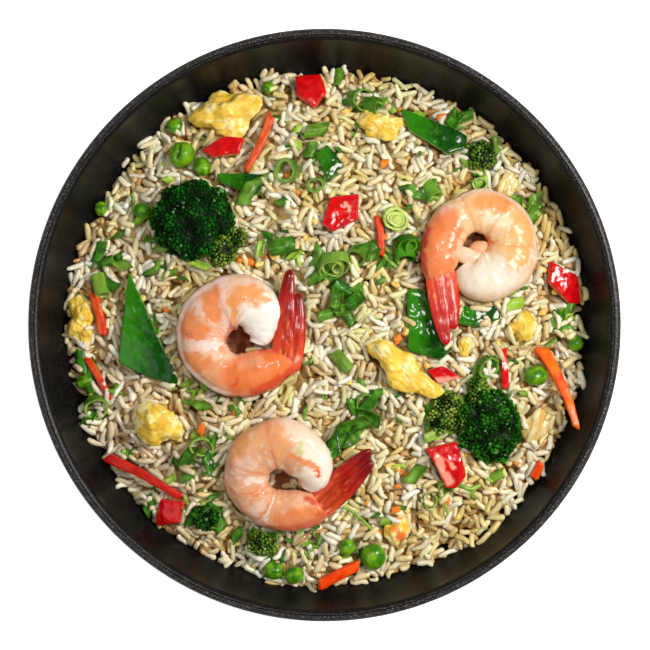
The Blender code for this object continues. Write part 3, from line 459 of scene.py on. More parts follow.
# Share of the small bits that lie in the clusters, and how far out any of them lies
CLUSTERED = 0.72
LAST_BIT = 94
CUBES = (
    # x, y, lift, turn, size, colour
    (21.4, 16.7, 0.8, 20, 3.0, "green"),
    (40.0, -42.4, 1.6, 30, 3.8, "light"),
    (22.9, 61.4, 0.8, 30, 3.0, "orange"),
    (44.9, 79.2, 0.8, 10, 3.2, "orange"),
    (27.8, -5.3, 0.8, 50, 2.8, "orange"),
    (27.1, -70.5, 0.8, 20, 3.0, "orange"),
    (-46.8, -39.8, 0.8, 70, 3.0, "orange"),
    (22.6, 33.4, 1.6, 20, 2.4, "orange"),
)
CUBE_TINTS = {
    "orange": ((226, 112, 24), (244, 150, 50)),
    "green": ((50, 96, 20), (110, 156, 50)),
    "light": ((140, 178, 64), (190, 210, 110)),
}

# ---------------------------------------------------------------- surfaces and light
LOOKS = {
    # name: roughness, coat, gloss, mottle (scale, darkest, lightest), relief (scale, depth,
    # strength), light carried inside (weight, radius, scale)
    "cooked_shrimp": (0.32, 0.3, 0.3, (2600, 0.92, 1.06), (1500, 0.0002, 0.6),
                      (0.2, (1.0, 0.45, 0.25), 0.002)),
    "scallion_green": (0.32, 0.15, 0.25, (1600, 0.85, 1.12), (1300, 0.0002, 0.5)),
    "pod_green": (0.24, 0.6, 0.1, (700, 0.95, 1.04), (240, 0.0009, 0.7)),
    "broccoli_green": (0.3, 0.0, 0.1, (2600, 0.75, 1.2), (2600, 0.0002, 0.6)),
    "pepper_red": (0.2, 0.6, 0.2, (800, 0.92, 1.06), (380, 0.0005, 0.6)),
    "carrot_orange": (0.34, 0.15, 0.25, (1400, 0.9, 1.08), (1500, 0.00018, 0.5)),
    "egg_yellow": (0.42, 0.2, 0.3, (700, 0.97, 1.03), (900, 0.00012, 0.35),
                   (0.3, (1.0, 0.75, 0.35), 0.002)),
    "onion_gold": (0.28, 0.35, 0.5, (700, 0.96, 1.03), (800, 0.0001, 0.4),
                   (0.5, (1.0, 0.75, 0.4), 0.003)),
    "pea_green": (0.28, 0.4, 0.25, (1100, 0.93, 1.06), (1200, 0.00012, 0.4)),
    "rice_grain": (0.3, 0.5, 0.3, (1000, 0.97, 1.03), (1500, 0.0001, 0.5),
                   (0.6, (1.0, 0.86, 0.62), 0.0022)),
    "rice_core": (0.45, 0.0, 0.3, (500, 0.85, 1.12), (900, 0.0006, 0.8),
                  (0.3, (1.0, 0.7, 0.4), 0.003)),
}
COAT_ROUGHNESS = 0.08
LIGHTS = (
    # name, azimuth, elevation, distance, size, power, colour
    ("key", 17, 50, 1.5, 0.5, 19, (1.0, 0.955, 0.89)),
    ("top", 60, 80, 1.6, 0.25, 4.2, (1.0, 0.97, 0.92)),
    ("fill", 200, 50, 1.6, 1.2, 3, (1, 1, 1)),
)
# Grey of the sky from the horizon up, so that gloss shows a pale surround
SKY = ((0.0, 0.8), (0.45, 0.6), (0.8, 0.2), (1.0, 0.1))
SKY_STRENGTH = 0.62
FLOOR_GREY = 0.92
FLOOR_GLOW = 0.8
CAMERA_LENS = 175.5
CAMERA_PLACE = (0.00019, 0.0, 1.2618)


# ---------------------------------------------------------------- small tools
def srgb(*display):
    """Linear colour from display values of 0 to 255."""
    share = np.array(display) / 255
    return np.where(share <= 0.04045, share / 12.92, ((share + 0.055) / 1.055) ** 2.4)


def mix(a, b, share):
    share = np.clip(np.asarray(share, float), 0, 1)[..., None]
    return a * (1 - share) + b * share


def smooth(low, high, value):
    share = np.clip((value - low) / (high - low), 0, 1)
    return share * share * (3 - 2 * share)


def eased(values, side, edges="edge"):
    """Running mean over some neighbours on each side."""
    size = 2 * side + 1
    return np.convolve(np.pad(values, side, edges), np.ones(size) / size, "valid")


def bell(values, width):
    return np.exp(-((values / width) ** 2))


def line_gap(spot, start, end):
    """Distance of each spot from the line between two places."""
    way = end - start
    share = np.clip(((spot - start) @ way) / (way @ way), 0, 1)
    return np.linalg.norm(spot - start - share[..., None] * way, axis=-1)


LATTICE = np.random.default_rng(11)
SHUFFLE = LATTICE.permutation(256)
SLOPES = LATTICE.normal(size=(256, 3))
SLOPES /= np.linalg.norm(SLOPES, axis=1)[:, None]


def wave(points, size, seed, octaves=1):
    """Gradient noise between about -1 and 1 at points given in millimetres."""
    points = np.asarray(points, float)
    total = np.zeros(points.shape[:-1])
    strength = 1.0
    for octave in range(octaves):
        place = points / size + seed * np.array([3.1, 7.7, 1.3]) + octave * 17.3
        corner = np.floor(place).astype(int)
        part = place - corner
        ease = part**3 * (part * (part * 6 - 15) + 10)
        for step in range(8):
            offset = np.array([step & 1, step >> 1 & 1, step >> 2 & 1])
            cell = corner + offset & 255
            key = SHUFFLE[SHUFFLE[cell[..., 0]] + cell[..., 1] & 255]
            slope = SLOPES[SHUFFLE[key + cell[..., 2] & 255]]
            weight = np.prod(np.where(offset, ease, 1 - ease), axis=-1)
            total += strength * weight * np.sum(slope * (part - offset), axis=-1) * 1.6
        strength *= 0.5
        size /= 2
    return total


class Shape:
    """Vertices in millimetres, faces and a colour for each vertex."""

    def __init__(self, *part):
        self.points = []
        self.faces = []
        self.tints = []
        self.count = 0
        if part:
            self.add(*part)

    def add(self, points, faces, tint):
        tint = np.asarray(tint, float)
        if tint.ndim == 1:
            tint = np.tile(tint, (len(points), 1))
        self.faces += [np.asarray(block) + self.count for block in faces if len(block)]
        self.points.append(np.asarray(points, float))
        self.tints.append(tint)
        self.count += len(points)

    def join(self, other, matrix=None):
        points = other.all_points()
        if matrix is not None:
            grid = np.array(matrix)
            points = points @ grid[:3, :3].T + grid[:3, 3]
        self.add(points, other.faces, np.concatenate(other.tints))

    def all_points(self):
        return np.concatenate(self.points)

    def all_faces(self):
        return [face for block in self.faces for face in block.tolist()]


def gathered(rows, make, first=1):
    """One shape of a table's rows, each made by its number and laid where its maker says."""
    whole = Shape()
    for number, row in enumerate(rows, first):
        whole.join(*make(number, *row))
    return whole


def loft(rings, caps=True):
    """Faces of closed rings, (rows, around, 3), with the first and last one closed by a point."""
    rows, around = rings.shape[:2]
    points = rings.reshape(-1, 3)
    here = np.arange(around)
    after = (here + 1) % around
    quads = []
    for row in range(rows - 1):
        low = row * around
        high = low + around
        quads.append(np.stack([low + here, low + after, high + after, high + here], 1))
    blocks = [np.concatenate(quads)]
    if caps:
        first = len(points)
        points = np.concatenate([points, [rings[0].mean(0)], [rings[-1].mean(0)]])
        low = (rows - 1) * around
        blocks.append(np.stack([here * 0 + first, after, here], 1))
        blocks.append(np.stack([here * 0 + first + 1, low + here, low + after], 1))
    return points, blocks


def capped(tint):
    """Tints of rings for a loft, whose closing points take the tint of their ring's start."""
    return np.concatenate([tint.reshape(-1, 3), [tint[0, 0], tint[-1, 0]]])


def swept(middle, side, over, wide, tall):
    """Rings along a line, given how far each point lies to the side and over it."""
    return middle[:, None, :] + side * wide[..., None] + over * tall[..., None]


# ---------------------------------------------------------------- heights
def bowl_curve(z, low_radius, low_z, high_radius, high_z):
    rise = np.clip((z - low_z) / (high_z - low_z), 0.0, 1.0)
    return low_radius + (high_radius - low_radius) * (1 - (1 - rise) ** 1.55) ** (1 / 1.75)


def inner_radius(z):
    return bowl_curve(z, FLOOR_RADIUS, FLOOR_Z, BOWL_RADIUS - WALL, BOWL_HEIGHT)


def outer_radius(z):
    return bowl_curve(z, FOOT_RADIUS, FOOT_HEIGHT, BOWL_RADIUS, BOWL_HEIGHT)


def edge_height(turn):
    wander = noise.noise(Vector((2.2 * math.cos(turn), 2.2 * math.sin(turn), 4.0)))
    lean = 0.6 * math.cos(turn - math.radians(-35))
    return EDGE_Z + EDGE_WAVE * (1.4 * wander + lean)


EDGE_TURNS = np.linspace(-math.pi, math.pi, 721)
EDGE_HEIGHTS = np.array([edge_height(turn) for turn in EDGE_TURNS])


def mound(x, y):
    """Smooth height of the heap."""
    turn = np.arctan2(y, x)
    edge = np.interp(turn, EDGE_TURNS, EDGE_HEIGHTS)
    share = np.hypot(x, y) / inner_radius(edge)
    fall = np.maximum(0.0, share * (1 + 0.06 * np.cos(turn - math.radians(146)) * (1 - share)))
    return CROWN_Z - (CROWN_Z - edge) * np.minimum(fall, 1.05) ** HEAP_POWER


def mound_normal(x, y):
    reach = 3.0
    slope_x = (mound(x + reach, y) - mound(x - reach, y)) / (2 * reach)
    slope_y = (mound(x, y + reach) - mound(x, y - reach)) / (2 * reach)
    return Vector((-slope_x, -slope_y, 1)).normalized()


def laid(x, y, lift, yaw, lean=(0, 0)):
    """Places a piece on the heap, square to its slope, then turned and leaned in degrees."""
    tilt = Vector(UPWARD).rotation_difference(mound_normal(x, y)).to_matrix()
    turn = Euler([math.radians(angle) for angle in (*lean, yaw)]).to_matrix()
    return Matrix.Translation((x, y, float(mound(x, y)) + lift)) @ (tilt @ turn).to_4x4()


# ---------------------------------------------------------------- materials
def new_material(name):
    made = bpy.data.materials.new(name)
    made.use_nodes = True
    nodes = made.node_tree.nodes
    return made, nodes, made.node_tree.links, nodes["Principled BSDF"]


def noise_node(nodes, links, scale, detail=3.0):
    place = nodes.new("ShaderNodeTexCoord")
    texture = nodes.new("ShaderNodeTexNoise")
    texture.inputs["Scale"].default_value = scale
    texture.inputs["Detail"].default_value = detail
    texture.inputs["Roughness"].default_value = 0.6
    links.new(place.outputs["Object"], texture.inputs["Vector"])
    return texture.outputs["Fac"]


def ramp_node(nodes, links, source, stops):
    ramp = nodes.new("ShaderNodeValToRGB")
    elements = ramp.color_ramp.elements
    while len(elements) < len(stops):
        elements.new(0.5)
    for element, (place, colour) in zip(elements, stops):
        element.position = place
        element.color = (*colour, 1)
    links.new(source, ramp.inputs["Fac"])
    return ramp.outputs["Color"]


def shaded_tint(nodes, links, shader, shade):
    """The base colour: a piece's own tint times a shade."""
    tint = nodes.new("ShaderNodeAttribute")
    tint.attribute_name = "tint"
    both = nodes.new("ShaderNodeMix")
    both.data_type = "RGBA"
    both.blend_type = "MULTIPLY"
    both.inputs["Factor"].default_value = 1.0
    links.new(tint.outputs["Color"], both.inputs["A"])
    links.new(shade, both.inputs["B"])
    links.new(both.outputs["Result"], shader.inputs["Base Color"])


def relief(nodes, links, shader, source, depth, strength):
    bump = nodes.new("ShaderNodeBump")
    bump.inputs["Strength"].default_value = strength
    bump.inputs["Distance"].default_value = depth
    links.new(source, bump.inputs["Height"])
    links.new(bump.outputs["Normal"], shader.inputs["Normal"])


def food_material(name, roughness, coat, gloss, mottle, bump, inside=None):
    """The piece's own tint with fine mottling, relief and some light carried inside it."""
    made, nodes, links, shader = new_material(name)
    scale, dark, light = mottle
    stops = ((0.3, (dark,) * 3), (0.7, (light,) * 3))
    shade = ramp_node(nodes, links, noise_node(nodes, links, scale), stops)
    shaded_tint(nodes, links, shader, shade)
    shader.inputs["Roughness"].default_value = roughness
    shader.inputs["Specular IOR Level"].default_value = gloss
    if inside:
        weight, radius, scale = inside
        shader.inputs["Subsurface Weight"].default_value = weight
        shader.inputs["Subsurface Radius"].default_value = radius
        shader.inputs["Subsurface Scale"].default_value = scale
    if coat:
        shader.inputs["Coat Weight"].default_value = coat
        shader.inputs["Coat Roughness"].default_value = COAT_ROUGHNESS
    scale, depth, strength = bump
    relief(nodes, links, shader, noise_node(nodes, links, scale, 2.0), depth, strength)
    return made


MATERIALS = {name: food_material(name, *look) for name, look in LOOKS.items()}


def finish_object(name, shape, look, nodes=()):
    """The mesh of a shape as one piece on the model's body."""
    mesh = bpy.data.meshes.new(name)
    mesh.from_pydata((shape.all_points() * MM).tolist(), [], shape.all_faces())
    colours = np.ones((len(mesh.vertices), 4))
    colours[:, :3] = np.concatenate(shape.tints)
    layer = mesh.color_attributes.new("tint", "FLOAT_COLOR", "POINT")
    layer.data.foreach_set("color", colours.ravel())
    mesh.shade_smooth()
    mesh.set_sharp_from_angle(angle=math.radians(70))
    mesh.materials.append(look)
    obj = bpy.data.objects.new(name, mesh)
    bpy.context.scene.collection.objects.link(obj)
    if nodes:
        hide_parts(*nodes)
    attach(obj, "root")
    return obj


# ---------------------------------------------------------------- the bowl
def bowl_profile():
    """Outside from the lip's crest to under the foot, and inside from the floor to the crest."""
    lip = WALL / 2
    lip_z = BOWL_HEIGHT - lip
    middle = (outer_radius(lip_z) + inner_radius(lip_z)) / 2
    half = (outer_radius(lip_z) - inner_radius(lip_z)) / 2
    turns = [math.radians(9 * step) for step in range(1, LIP_STEPS)]
    outer_lip = [(middle + half * math.cos(turn), lip_z + lip * math.sin(turn))
                 for turn in (math.radians(90), *turns[::-1])]
    inner_lip = [(middle - half * math.cos(turn), lip_z + lip * math.sin(turn)) for turn in turns]
    outer_zs = [FOOT_HEIGHT + (lip_z - FOOT_HEIGHT) * (1 - step / WALL_STEPS) ** 1.35
                for step in range(WALL_STEPS + 1)]
    inner_zs = [FLOOR_Z + (lip_z - FLOOR_Z) * (step / WALL_STEPS) ** 1.6
                for step in range(WALL_STEPS + 1)]
    inside_foot = FOOT_RADIUS - FOOT_WIDTH
    foot = [
        (FOOT_RADIUS - 0.3, 0.5),
        (FOOT_RADIUS - 0.9, 0),
        (inside_foot + 0.6, 0),
        (inside_foot, 0.6),
        (inside_foot - 1.2, FOOT_HEIGHT - 1.8),
        (inside_foot - 2.4, FOOT_HEIGHT - 1.2),
    ]
    outside = outer_lip + [(outer_radius(z), z) for z in outer_zs] + foot
    return outside, [(inner_radius(z), z) for z in inner_zs] + inner_lip, middle, half, lip_z


def make_bowl():
    """The bowl, dark glaze with a painted highlight: a lighter band along the crest of its lip."""
    outside, inside, middle, half, lip_z = bowl_profile()
    turns = np.arange(BOWL_TURNS) * TAU / BOWL_TURNS
    here = np.arange(BOWL_TURNS)
    shape = Shape()
    for rows, floor_z, facing in ((outside[::-1], FOOT_HEIGHT - 1.2, 1), (inside, FLOOR_Z, -1)):
        radius, height = np.array(rows, float).T[..., None]
        rings = [radius * np.cos(turns), radius * np.sin(turns), height + turns * 0]
        points, faces = loft(np.stack(rings, -1), caps=False)
        faces.append(np.stack([here * 0 + len(points), (here + 1) % BOWL_TURNS, here], 1))
        points = np.concatenate([points, [(0, 0, floor_z)]])
        across = (np.hypot(points[:, 0], points[:, 1]) - middle) / half
        # Painted highlight: the crest of the lip is tinted lighter where the lamps shine on it, and
        # the glaze's lightest speckles show mostly there
        lip_highlight = smooth(-0.5, -0.1, across) * smooth(0.8, 0.35, across) * (points[:, 2] > lip_z)
        tint = (0.1 + 0.65 * lip_highlight)[:, None] * np.ones(3)
        shape.add(points, [block[:, ::facing] for block in faces], tint)

    made, nodes, links, shader = new_material("black_glaze")
    speck = noise_node(nodes, links, 1500, 2.0)
    stops = ((0.35, srgb(36, 33, 32)), (0.55, srgb(62, 59, 57)), (0.7, srgb(150, 146, 143)))
    shaded_tint(nodes, links, shader, ramp_node(nodes, links, speck, stops))
    shader.inputs["Roughness"].default_value = 0.36
    shader.inputs["Specular IOR Level"].default_value = 0.2
    relief(nodes, links, shader, speck, 0.0001, 0.35)
    obj = finish_object("bowl_glazed", shape, made, ["bowl"])
    form = bmesh.new()
    form.from_mesh(obj.data)
    bmesh.ops.remove_doubles(form, verts=form.verts, dist=1e-6)
    bmesh.ops.recalc_face_normals(form, faces=form.faces)
    form.to_mesh(obj.data)
    form.free()


# ---------------------------------------------------------------- shrimps
def curl_at(curl, angles):
    """Distance from the hole and half depth of a curl, eased between its rows."""
    table = np.array(curl, float)
    place = np.interp(angles, table[:, 0], np.arange(len(table)))
    row = np.minimum(place.astype(int), len(table) - 2)
    share = place - row
    ease = (share * share * (3 - 2 * share))[:, None]
    pairs = table[row, 1:] * (1 - ease) + table[row + 1, 1:] * ease
    return pairs[:, 0], pairs[:, 1]


def marked(tint, spot, marks):
    """Soft-edged marks over a curl, whose places are lengths round it and across it."""
    for start, end, half, colour, strength in marks:
        start, end = (np.array([math.radians(turn), across]) * MARK_SPAN
                      for turn, across in (start, end))
        gap = line_gap(spot, start, end)
        tint = mix(tint, srgb(*colour), strength * (1 - smooth(half * 0.6, half * 1.3, gap)))
    return tint


def curl_tints(number, body, way, cosine, notch, share, banded, turn):
    """Orange patches and pale flesh between them, with a pale band along the back."""
    flat = body.shape[:2]
    round_it = np.broadcast_to(way[:, None] * MARK_SPAN[0], flat)
    spot = np.stack([round_it, np.broadcast_to(cosine, flat) * MARK_SPAN[1]], -1)
    for size, seeds, octaves, far in ((3.4, (5.1, 9.1), 4, 1.6), (0.7, (2.1, 6.1), 1, 0.5)):
        warp = np.stack([wave(body, size, number + seed, octaves) for seed in seeds], -1) * far
        spot = spot + warp
    tint = np.broadcast_to(srgb(*SHRIMP_BASES[number - 1]), body.shape)
    tint = mix(tint, srgb(250, 226, 208), smooth(0.1, 0.8, wave(body, 2.4, number + 8.0, 3)) * 0.5)
    tint = marked(tint, spot, SHRIMP_MARKS[number - 1])
    tint = mix(tint, srgb(234, 128, 66), (notch * 0.35 * smooth(0.2, 0.35, share))[:, None])
    pale = bell(turn - 0.44, 0.15) * banded[:, None]
    tint = mix(tint, srgb(240, 212, 198), pale * 0.95)
    rim = bell(np.minimum(turn, TAU - turn), 0.16) * banded[:, None]
    tint = mix(tint, srgb(232, 140, 84), rim * 0.7)
    return tint * (1 + 0.06 * wave(body, 0.9, number + 3.0, 2))[..., None]


def curl_shape(number, curl):
    """The curled body of a peeled shrimp lying on its side, and the middle of its last ring."""
    share = np.linspace(0, 1, CURL_RINGS)
    angles = curl[0][0] + (curl[-1][0] - curl[0][0]) * share
    distance, depth = (eased(values, 4) for values in curl_at(curl, angles))
    within = share * SHRIMP_SEGMENTS % 1
    depth *= 1 + 0.035 * (within - 0.5) * smooth(0, 0.16, within)
    notch = bell(np.minimum(within, 1 - within), 0.05) * smooth(0.1, 0.2, share)
    depth *= 1 - 0.014 * notch
    way = np.radians(angles)
    middle = np.stack([distance * np.cos(way), distance * np.sin(way), way * 0], 1)
    tangent = np.gradient(middle, axis=0)
    tangent /= np.linalg.norm(tangent, axis=1)[:, None]
    outward = np.stack([tangent[:, 1], -tangent[:, 0], way * 0], 1)[:, None, :]
    turn = np.arange(CURL_AROUND) * TAU / CURL_AROUND
    cosine = np.cos(turn)
    sine = np.sin(turn)
    first, last, strength = SHRIMP_BANDS[number - 1]
    banded = smooth(first, first + 14, angles) * smooth(last, last - 14, angles) * strength
    ridge = bell(turn - 0.44, 0.12) * 0.03 - bell(turn - 0.66, 0.07) * 0.035
    round_off = 1 + ridge[None, :] * banded[:, None]
    wide = depth[:, None] * cosine * round_off
    tall = depth[:, None] * SHRIMP_FLATNESS * np.sign(sine) * np.abs(sine) ** 0.92 * round_off
    body = swept(middle, outward, UPWARD, wide, tall)
    ripple = wave(body, 5.0, number + 0.3, 3) * 0.35 + wave(body, 1.6, number, 2) * 0.06
    normal = outward * cosine[None, :, None] + UPWARD * sine[None, :, None]
    body = body + normal * ripple[..., None]
    tint = curl_tints(number, body, way, cosine, notch, share, banded, turn)
    return Shape(*loft(body), capped(tint)), middle[-1]


def tail_lobe(number, side, reach, joint, forward, longer):
    """One lobe of a tail fan: left (1), right (-1) or the narrow one over them (0)."""
    sideways = np.array([-forward[1], forward[0], 0])
    part = np.linspace(0, 1, TAIL_ROWS)
    fan = np.arange(TAIL_AROUND) * TAU / TAIL_AROUND
    near, mid, tip, light = (srgb(*tint) for tint in TAIL_TINTS[number - 1])
    if side == 0:
        half, slimming, rise = 3.1, 0.68, 0.9
        swing = longer * 1.3 * np.sqrt(part)
    else:
        half, slimming, rise = TAIL_HALF_WIDTH, 0.62, 0.4 + 0.35 * side
        swing = side * (TAIL_SPREAD + 0.5 * np.sin(math.pi * part * 0.9))
        if side != longer:
            swing = swing * (1 - 0.25 * part)
    line = joint + forward * (reach * part - TAIL_ROOT)[:, None] + sideways * swing[:, None]
    width = half * np.sin(math.pi * (0.28 + slimming * part)) ** 0.8
    width *= np.sqrt(np.clip(1 - (np.maximum(part - 0.93, 0) / 0.07) ** 2, 0.12, 1))
    groove = bell(fan - 1.75, 0.16) + 0.6 * bell(fan - 0.95, 0.1)
    folds = 1 - 0.06 * groove[None, :] * smooth(0.04, 0.2, part)[:, None]
    tall = width[:, None] * TAIL_FLATNESS * np.sin(fan) * folds
    lobe = swept(line + UPWARD * rise, sideways, UPWARD, width[:, None] * np.cos(fan), tall)
    lobe = lobe + UPWARD * (wave(lobe, 5.0, number + side, 1) * 0.3)[..., None]

    stretched = lobe @ np.stack([forward * 0.22, sideways, UPWARD], 1)
    streak = wave(stretched, 1.3, number + side * 2.2, 3)
    deep = part[:, None] + 0.2 * streak
    tint = mix(near, mid, smooth(0.12, 0.6, deep))
    tint = mix(tint, tip, smooth(0.6, 0.95, deep))
    ridges = smooth(0.1, 0.7, streak) * (1 - smooth(0.5, 0.85, part))[:, None]
    tint = mix(tint, light, ridges * 0.8)
    # Painted shade: darker along the grooves of the fan
    tint = mix(tint, tip * 0.8, groove[None, :] * 0.45)
    edge = smooth(0.72, 1.0, side * np.cos(fan))[None, :] * smooth(0.15, 0.4, part)[:, None]
    tint = mix(tint, mid * 0.8 if number < 3 else tip, edge * 0.6)
    # Painted highlight: a pale band across the lobe near the joint
    joint_highlight = bell(part - 0.13, 0.06)[:, None] * smooth(-0.2, 0.6, streak)
    tint = mix(tint, srgb(250, 190, 160), joint_highlight * 0.7)
    return Shape(*loft(lobe), capped(tint))


def shrimp(number, curl, x, y, lift, yaw, scale, tail_turn, tail_lengths):
    """A peeled shrimp curled flat on its side, its tail fan turned out of the curl."""
    shape, joint = curl_shape(number, curl)
    heading = math.radians(curl[-1][0] + 90 + tail_turn)
    forward = np.array([math.cos(heading), math.sin(heading), 0])
    left, right = tail_lengths
    longer = 1 if left > right else -1
    for side, reach in ((1, left), (-1, right), (0, max(tail_lengths) * 0.9)):
        shape.join(tail_lobe(number, side, reach, joint, forward, longer))
    return shape, laid(x, y, lift, yaw) @ Matrix.Scale(scale, 4)


def shrimp_fold(number, x, y, lift, yaw, radii, colour):
    points, faces, _ = blob_points(4, radii, 0.1, 4.0, number)
    tint = srgb(*colour) * (1 + 0.15 * wave(points, 2.0, number, 2))[:, None]
    return Shape(points, [faces], tint), laid(x, y, lift, yaw)


# ---------------------------------------------------------------- flat cuts and sticks
def outline_of(corners, corner_share):
    """A closed outline through the sides of a polygon, its corners rounded."""
    corners = np.array(corners, float)
    line = []
    for before, corner, after in zip(np.roll(corners, 1, 0), corners, np.roll(corners, -1, 0)):
        start = corner + (before - corner) * corner_share
        end = corner + (after - corner) * corner_share
        for step in range(7):
            share = step / 6
            rest = 1 - share
            line.append(rest**2 * start + 2 * share * rest * corner + share**2 * end)
    closed = np.array(line + line[:1])
    lengths = np.concatenate([[0], np.cumsum(np.linalg.norm(np.diff(closed, axis=0), axis=1))])
    places = np.linspace(0, lengths[-1], OUTLINE_POINTS, endpoint=False)
    return np.stack([np.interp(places, lengths, row) for row in closed.T], 1)


def slab_shape(corners, thickness, crown, seed, skin, flesh, ripple, corner_share,
               ragged=0.25, vein=0.0):
    """A flat cut piece: skin above and below, flesh on its cut sides."""
    outline = outline_of(corners, corner_share)
    flat = np.concatenate([outline, np.zeros((len(outline), 1))], 1)
    centre = outline.mean(0)
    outline = outline + (outline - centre) * (ragged * 0.12 * wave(flat, 2.2, seed, 2))[:, None]
    reach = np.linalg.norm(np.array(corners), axis=1).max()
    local = np.linalg.norm(outline - centre, axis=1)
    fillet = min(0.8, thickness * 0.42)
    half = thickness / 2
    rows = [(share, half, 0.0) for share in np.linspace(0.02, 0.9, 16)]
    for middle, first, last in ((half - fillet, 90, 0), (fillet - half, 0, -90)):
        for turn in np.radians(np.linspace(first, last, 5)):
            rows.append((None, middle + fillet * math.sin(turn), fillet * (1 - math.cos(turn))))
    rows += [(share, -half, 0.0) for share in np.linspace(0.9, 0.02, 8)]
    rings = []
    edges = []
    for share, z, inset in rows:
        scale = np.full(len(outline), share) if share is not None else 1 - inset / local
        flat = centre + (outline - centre) * scale[:, None]
        bend = crown * (0.5 - (np.linalg.norm(flat, axis=1) / reach) ** 2)
        rings.append(np.stack([flat[:, 0], flat[:, 1], z + bend], 1))
        cut = share is None and abs(z) < half - fillet * 0.35
        edges.append(np.full(len(outline), float(cut)))
    rings = np.array(rings)
    swell = wave(rings * np.array([1, 1, 0.3]), 4.5, seed + 0.4, 2) * ripple
    if vein:
        along = rings[..., 0] * 2.4 + rings[..., 1] * 0.8
        swell = swell + vein * np.sin(along + wave(rings, 9, seed) * 2)
    rings[..., 2] += swell
    points, faces = loft(rings[::-1])
    edge = np.concatenate([*edges[::-1], [0, 0]])
    tint = skin(points, wave(points, 3.5, seed + 3.0, 3))
    return Shape(points, faces, mix(tint, flesh, edge * 0.8))


def side_lit_pod_skin(points, tone):
    """Deep green, with painted light and shade: brighter towards the piece's left side, darker
    towards its right.
    """
    span = points[:, 0].max() - points[:, 0].min()
    side = (points[:, 0] - points[:, 0].min()) / span
    # Painted light and shade across the piece from left to right
    dark = mix(srgb(44, 128, 4), srgb(8, 68, 1), smooth(0.1, 0.7, side + 0.25 * tone))
    return mix(dark, srgb(96, 160, 14), smooth(0.35, 0.9, tone) * 0.3)


def pepper_skin(number):
    """Red skin, with pale flesh and a painted wet highlight along some sides."""

    def skin(points, tone):
        tint = mix(srgb(196, 0, 12), srgb(224, 18, 14), 0.45 + tone)
        # Pale pink marks: partly the flesh, partly a painted wet highlight
        for piece, start, end, half in PEPPER_FLESH_AND_SHINE:
            if piece == number:
                gap = line_gap(points[:, :2], np.array(start), np.array(end))
                shown = 1 - smooth(half * 0.45, half * 1.5, gap + 1.2 * tone)
                tint = mix(tint, srgb(255, 172, 146), shown * 0.85)
        return tint

    return skin


def leaf_skin(lightness):
    dark = mix(srgb(6, 62, 2), srgb(150, 196, 50), lightness)
    light = mix(srgb(56, 146, 8), srgb(206, 230, 104), lightness)

    def skin(_, tone):
        return mix(dark, light, 0.45 + tone * 1.1)

    return skin


def slab_maker(first_seed, skin_of, flesh, **form):
    def slab(number, x, y, lift, lean, corners, thickness, crown):
        seed = first_seed + number
        shape = slab_shape(corners, thickness, crown, seed, skin_of(number), flesh, **form)
        return shape, laid(x, y, lift, 0, lean)

    return slab


def stick_shape(length, width, thickness, bow, sweep, taper, seed, tints):
    """A squared stick with soft edges, narrower at its far end."""
    along = np.linspace(-1, 1, 44)
    turn = np.arange(28) * TAU / 28 + 0.1
    cosine, sine = (np.sign(part) * np.abs(part) ** 0.55 for part in (np.cos(turn), np.sin(turn)))
    half = length / 2
    end = np.clip(1 - np.maximum(0, np.abs(along) * half - (half - 0.7)) / 0.7 * 0.35, 0, 1)
    narrow = (1 - taper * (along + 1) / 2) * end
    rest = 1 - along**2
    lengthwise = 0.35 * cosine * width / 2 * (np.abs(along) ** 8)[:, None]
    rings = np.stack([
        (along * half)[:, None] + lengthwise,
        (narrow * width / 2)[:, None] * cosine + (sweep * rest)[:, None],
        (narrow * thickness / 2)[:, None] * sine + (bow * rest)[:, None],
    ], -1)
    push = wave(rings * np.array([0.5, 1, 1]), 3.0, seed, 3) * 0.28
    rings[..., 1] += push * cosine
    rings[..., 2] += push * sine
    points, faces = loft(rings)
    tone = wave(points * np.array([0.4, 1.2, 1.2]), 2.2, seed + 1.7, 3)
    low, high = (srgb(*tint) for tint in tints)
    return Shape(points, faces, mix(low, high, 0.45 + tone))


def carrot(number, x, y, lift, turned, length, width, thickness, bent, taper, *tints):
    yaw, rise = turned
    shape = stick_shape(length, width, thickness, *bent, taper, number, tints)
    return shape, laid(x, y, lift, yaw, (0, -rise))


def diced_bit(number, x, y, lift, yaw, size, colour):
    form = (size * 1.25, size, size * 0.8, 0.1, 0.1, 0.1)
    return stick_shape(*form, number * 3.1, CUBE_TINTS[colour]), laid(x, y, lift, yaw)


# ---------------------------------------------------------------- peas, eggs and onions
def pea_shape(radius, stretch, seed):
    """A pea with slight dents. The first one has a crease across its top, darkened with painted
    shade.
    """
    rows, around = 26, 36
    lift = np.linspace(-1, 1, rows + 2)[1:-1, None] * math.pi / 2
    turn = np.arange(around) * TAU / around
    ball = np.stack([
        np.cos(lift) * np.cos(turn) * radius * stretch,
        np.cos(lift) * np.sin(turn) * radius,
        np.broadcast_to(np.sin(lift) * radius * 0.92, (rows, around)),
    ], -1)
    dent = 1 + 0.05 * wave(ball, radius * 0.9, seed, 2)
    dent = dent - 0.04 * np.abs(wave(ball, radius * 0.4, seed + 4, 2))
    points, faces = loft(ball * dent[..., None])
    tone = wave(points, radius * 0.8, seed + 2.0, 3)
    tint = mix(srgb(50, 118, 2), srgb(122, 176, 20), 0.5 + tone)
    if seed == 1:
        line = points[:, 0] * 0.8 + points[:, 1] * 0.6
        across = points[:, 1] * 0.8 - points[:, 0] * 0.6 - 0.08 * line**2
        crease = bell(across, 0.5) * (1 - smooth(2.2, 3.4, np.abs(line)))
        crease = crease * smooth(0.2, 1.0, points[:, 2])
        points = points - UPWARD * (1.1 * crease)[:, None]
        # Painted shade in the crease
        tint = mix(tint, srgb(16, 62, 2), crease * 0.85)
    return Shape(points, faces, tint)


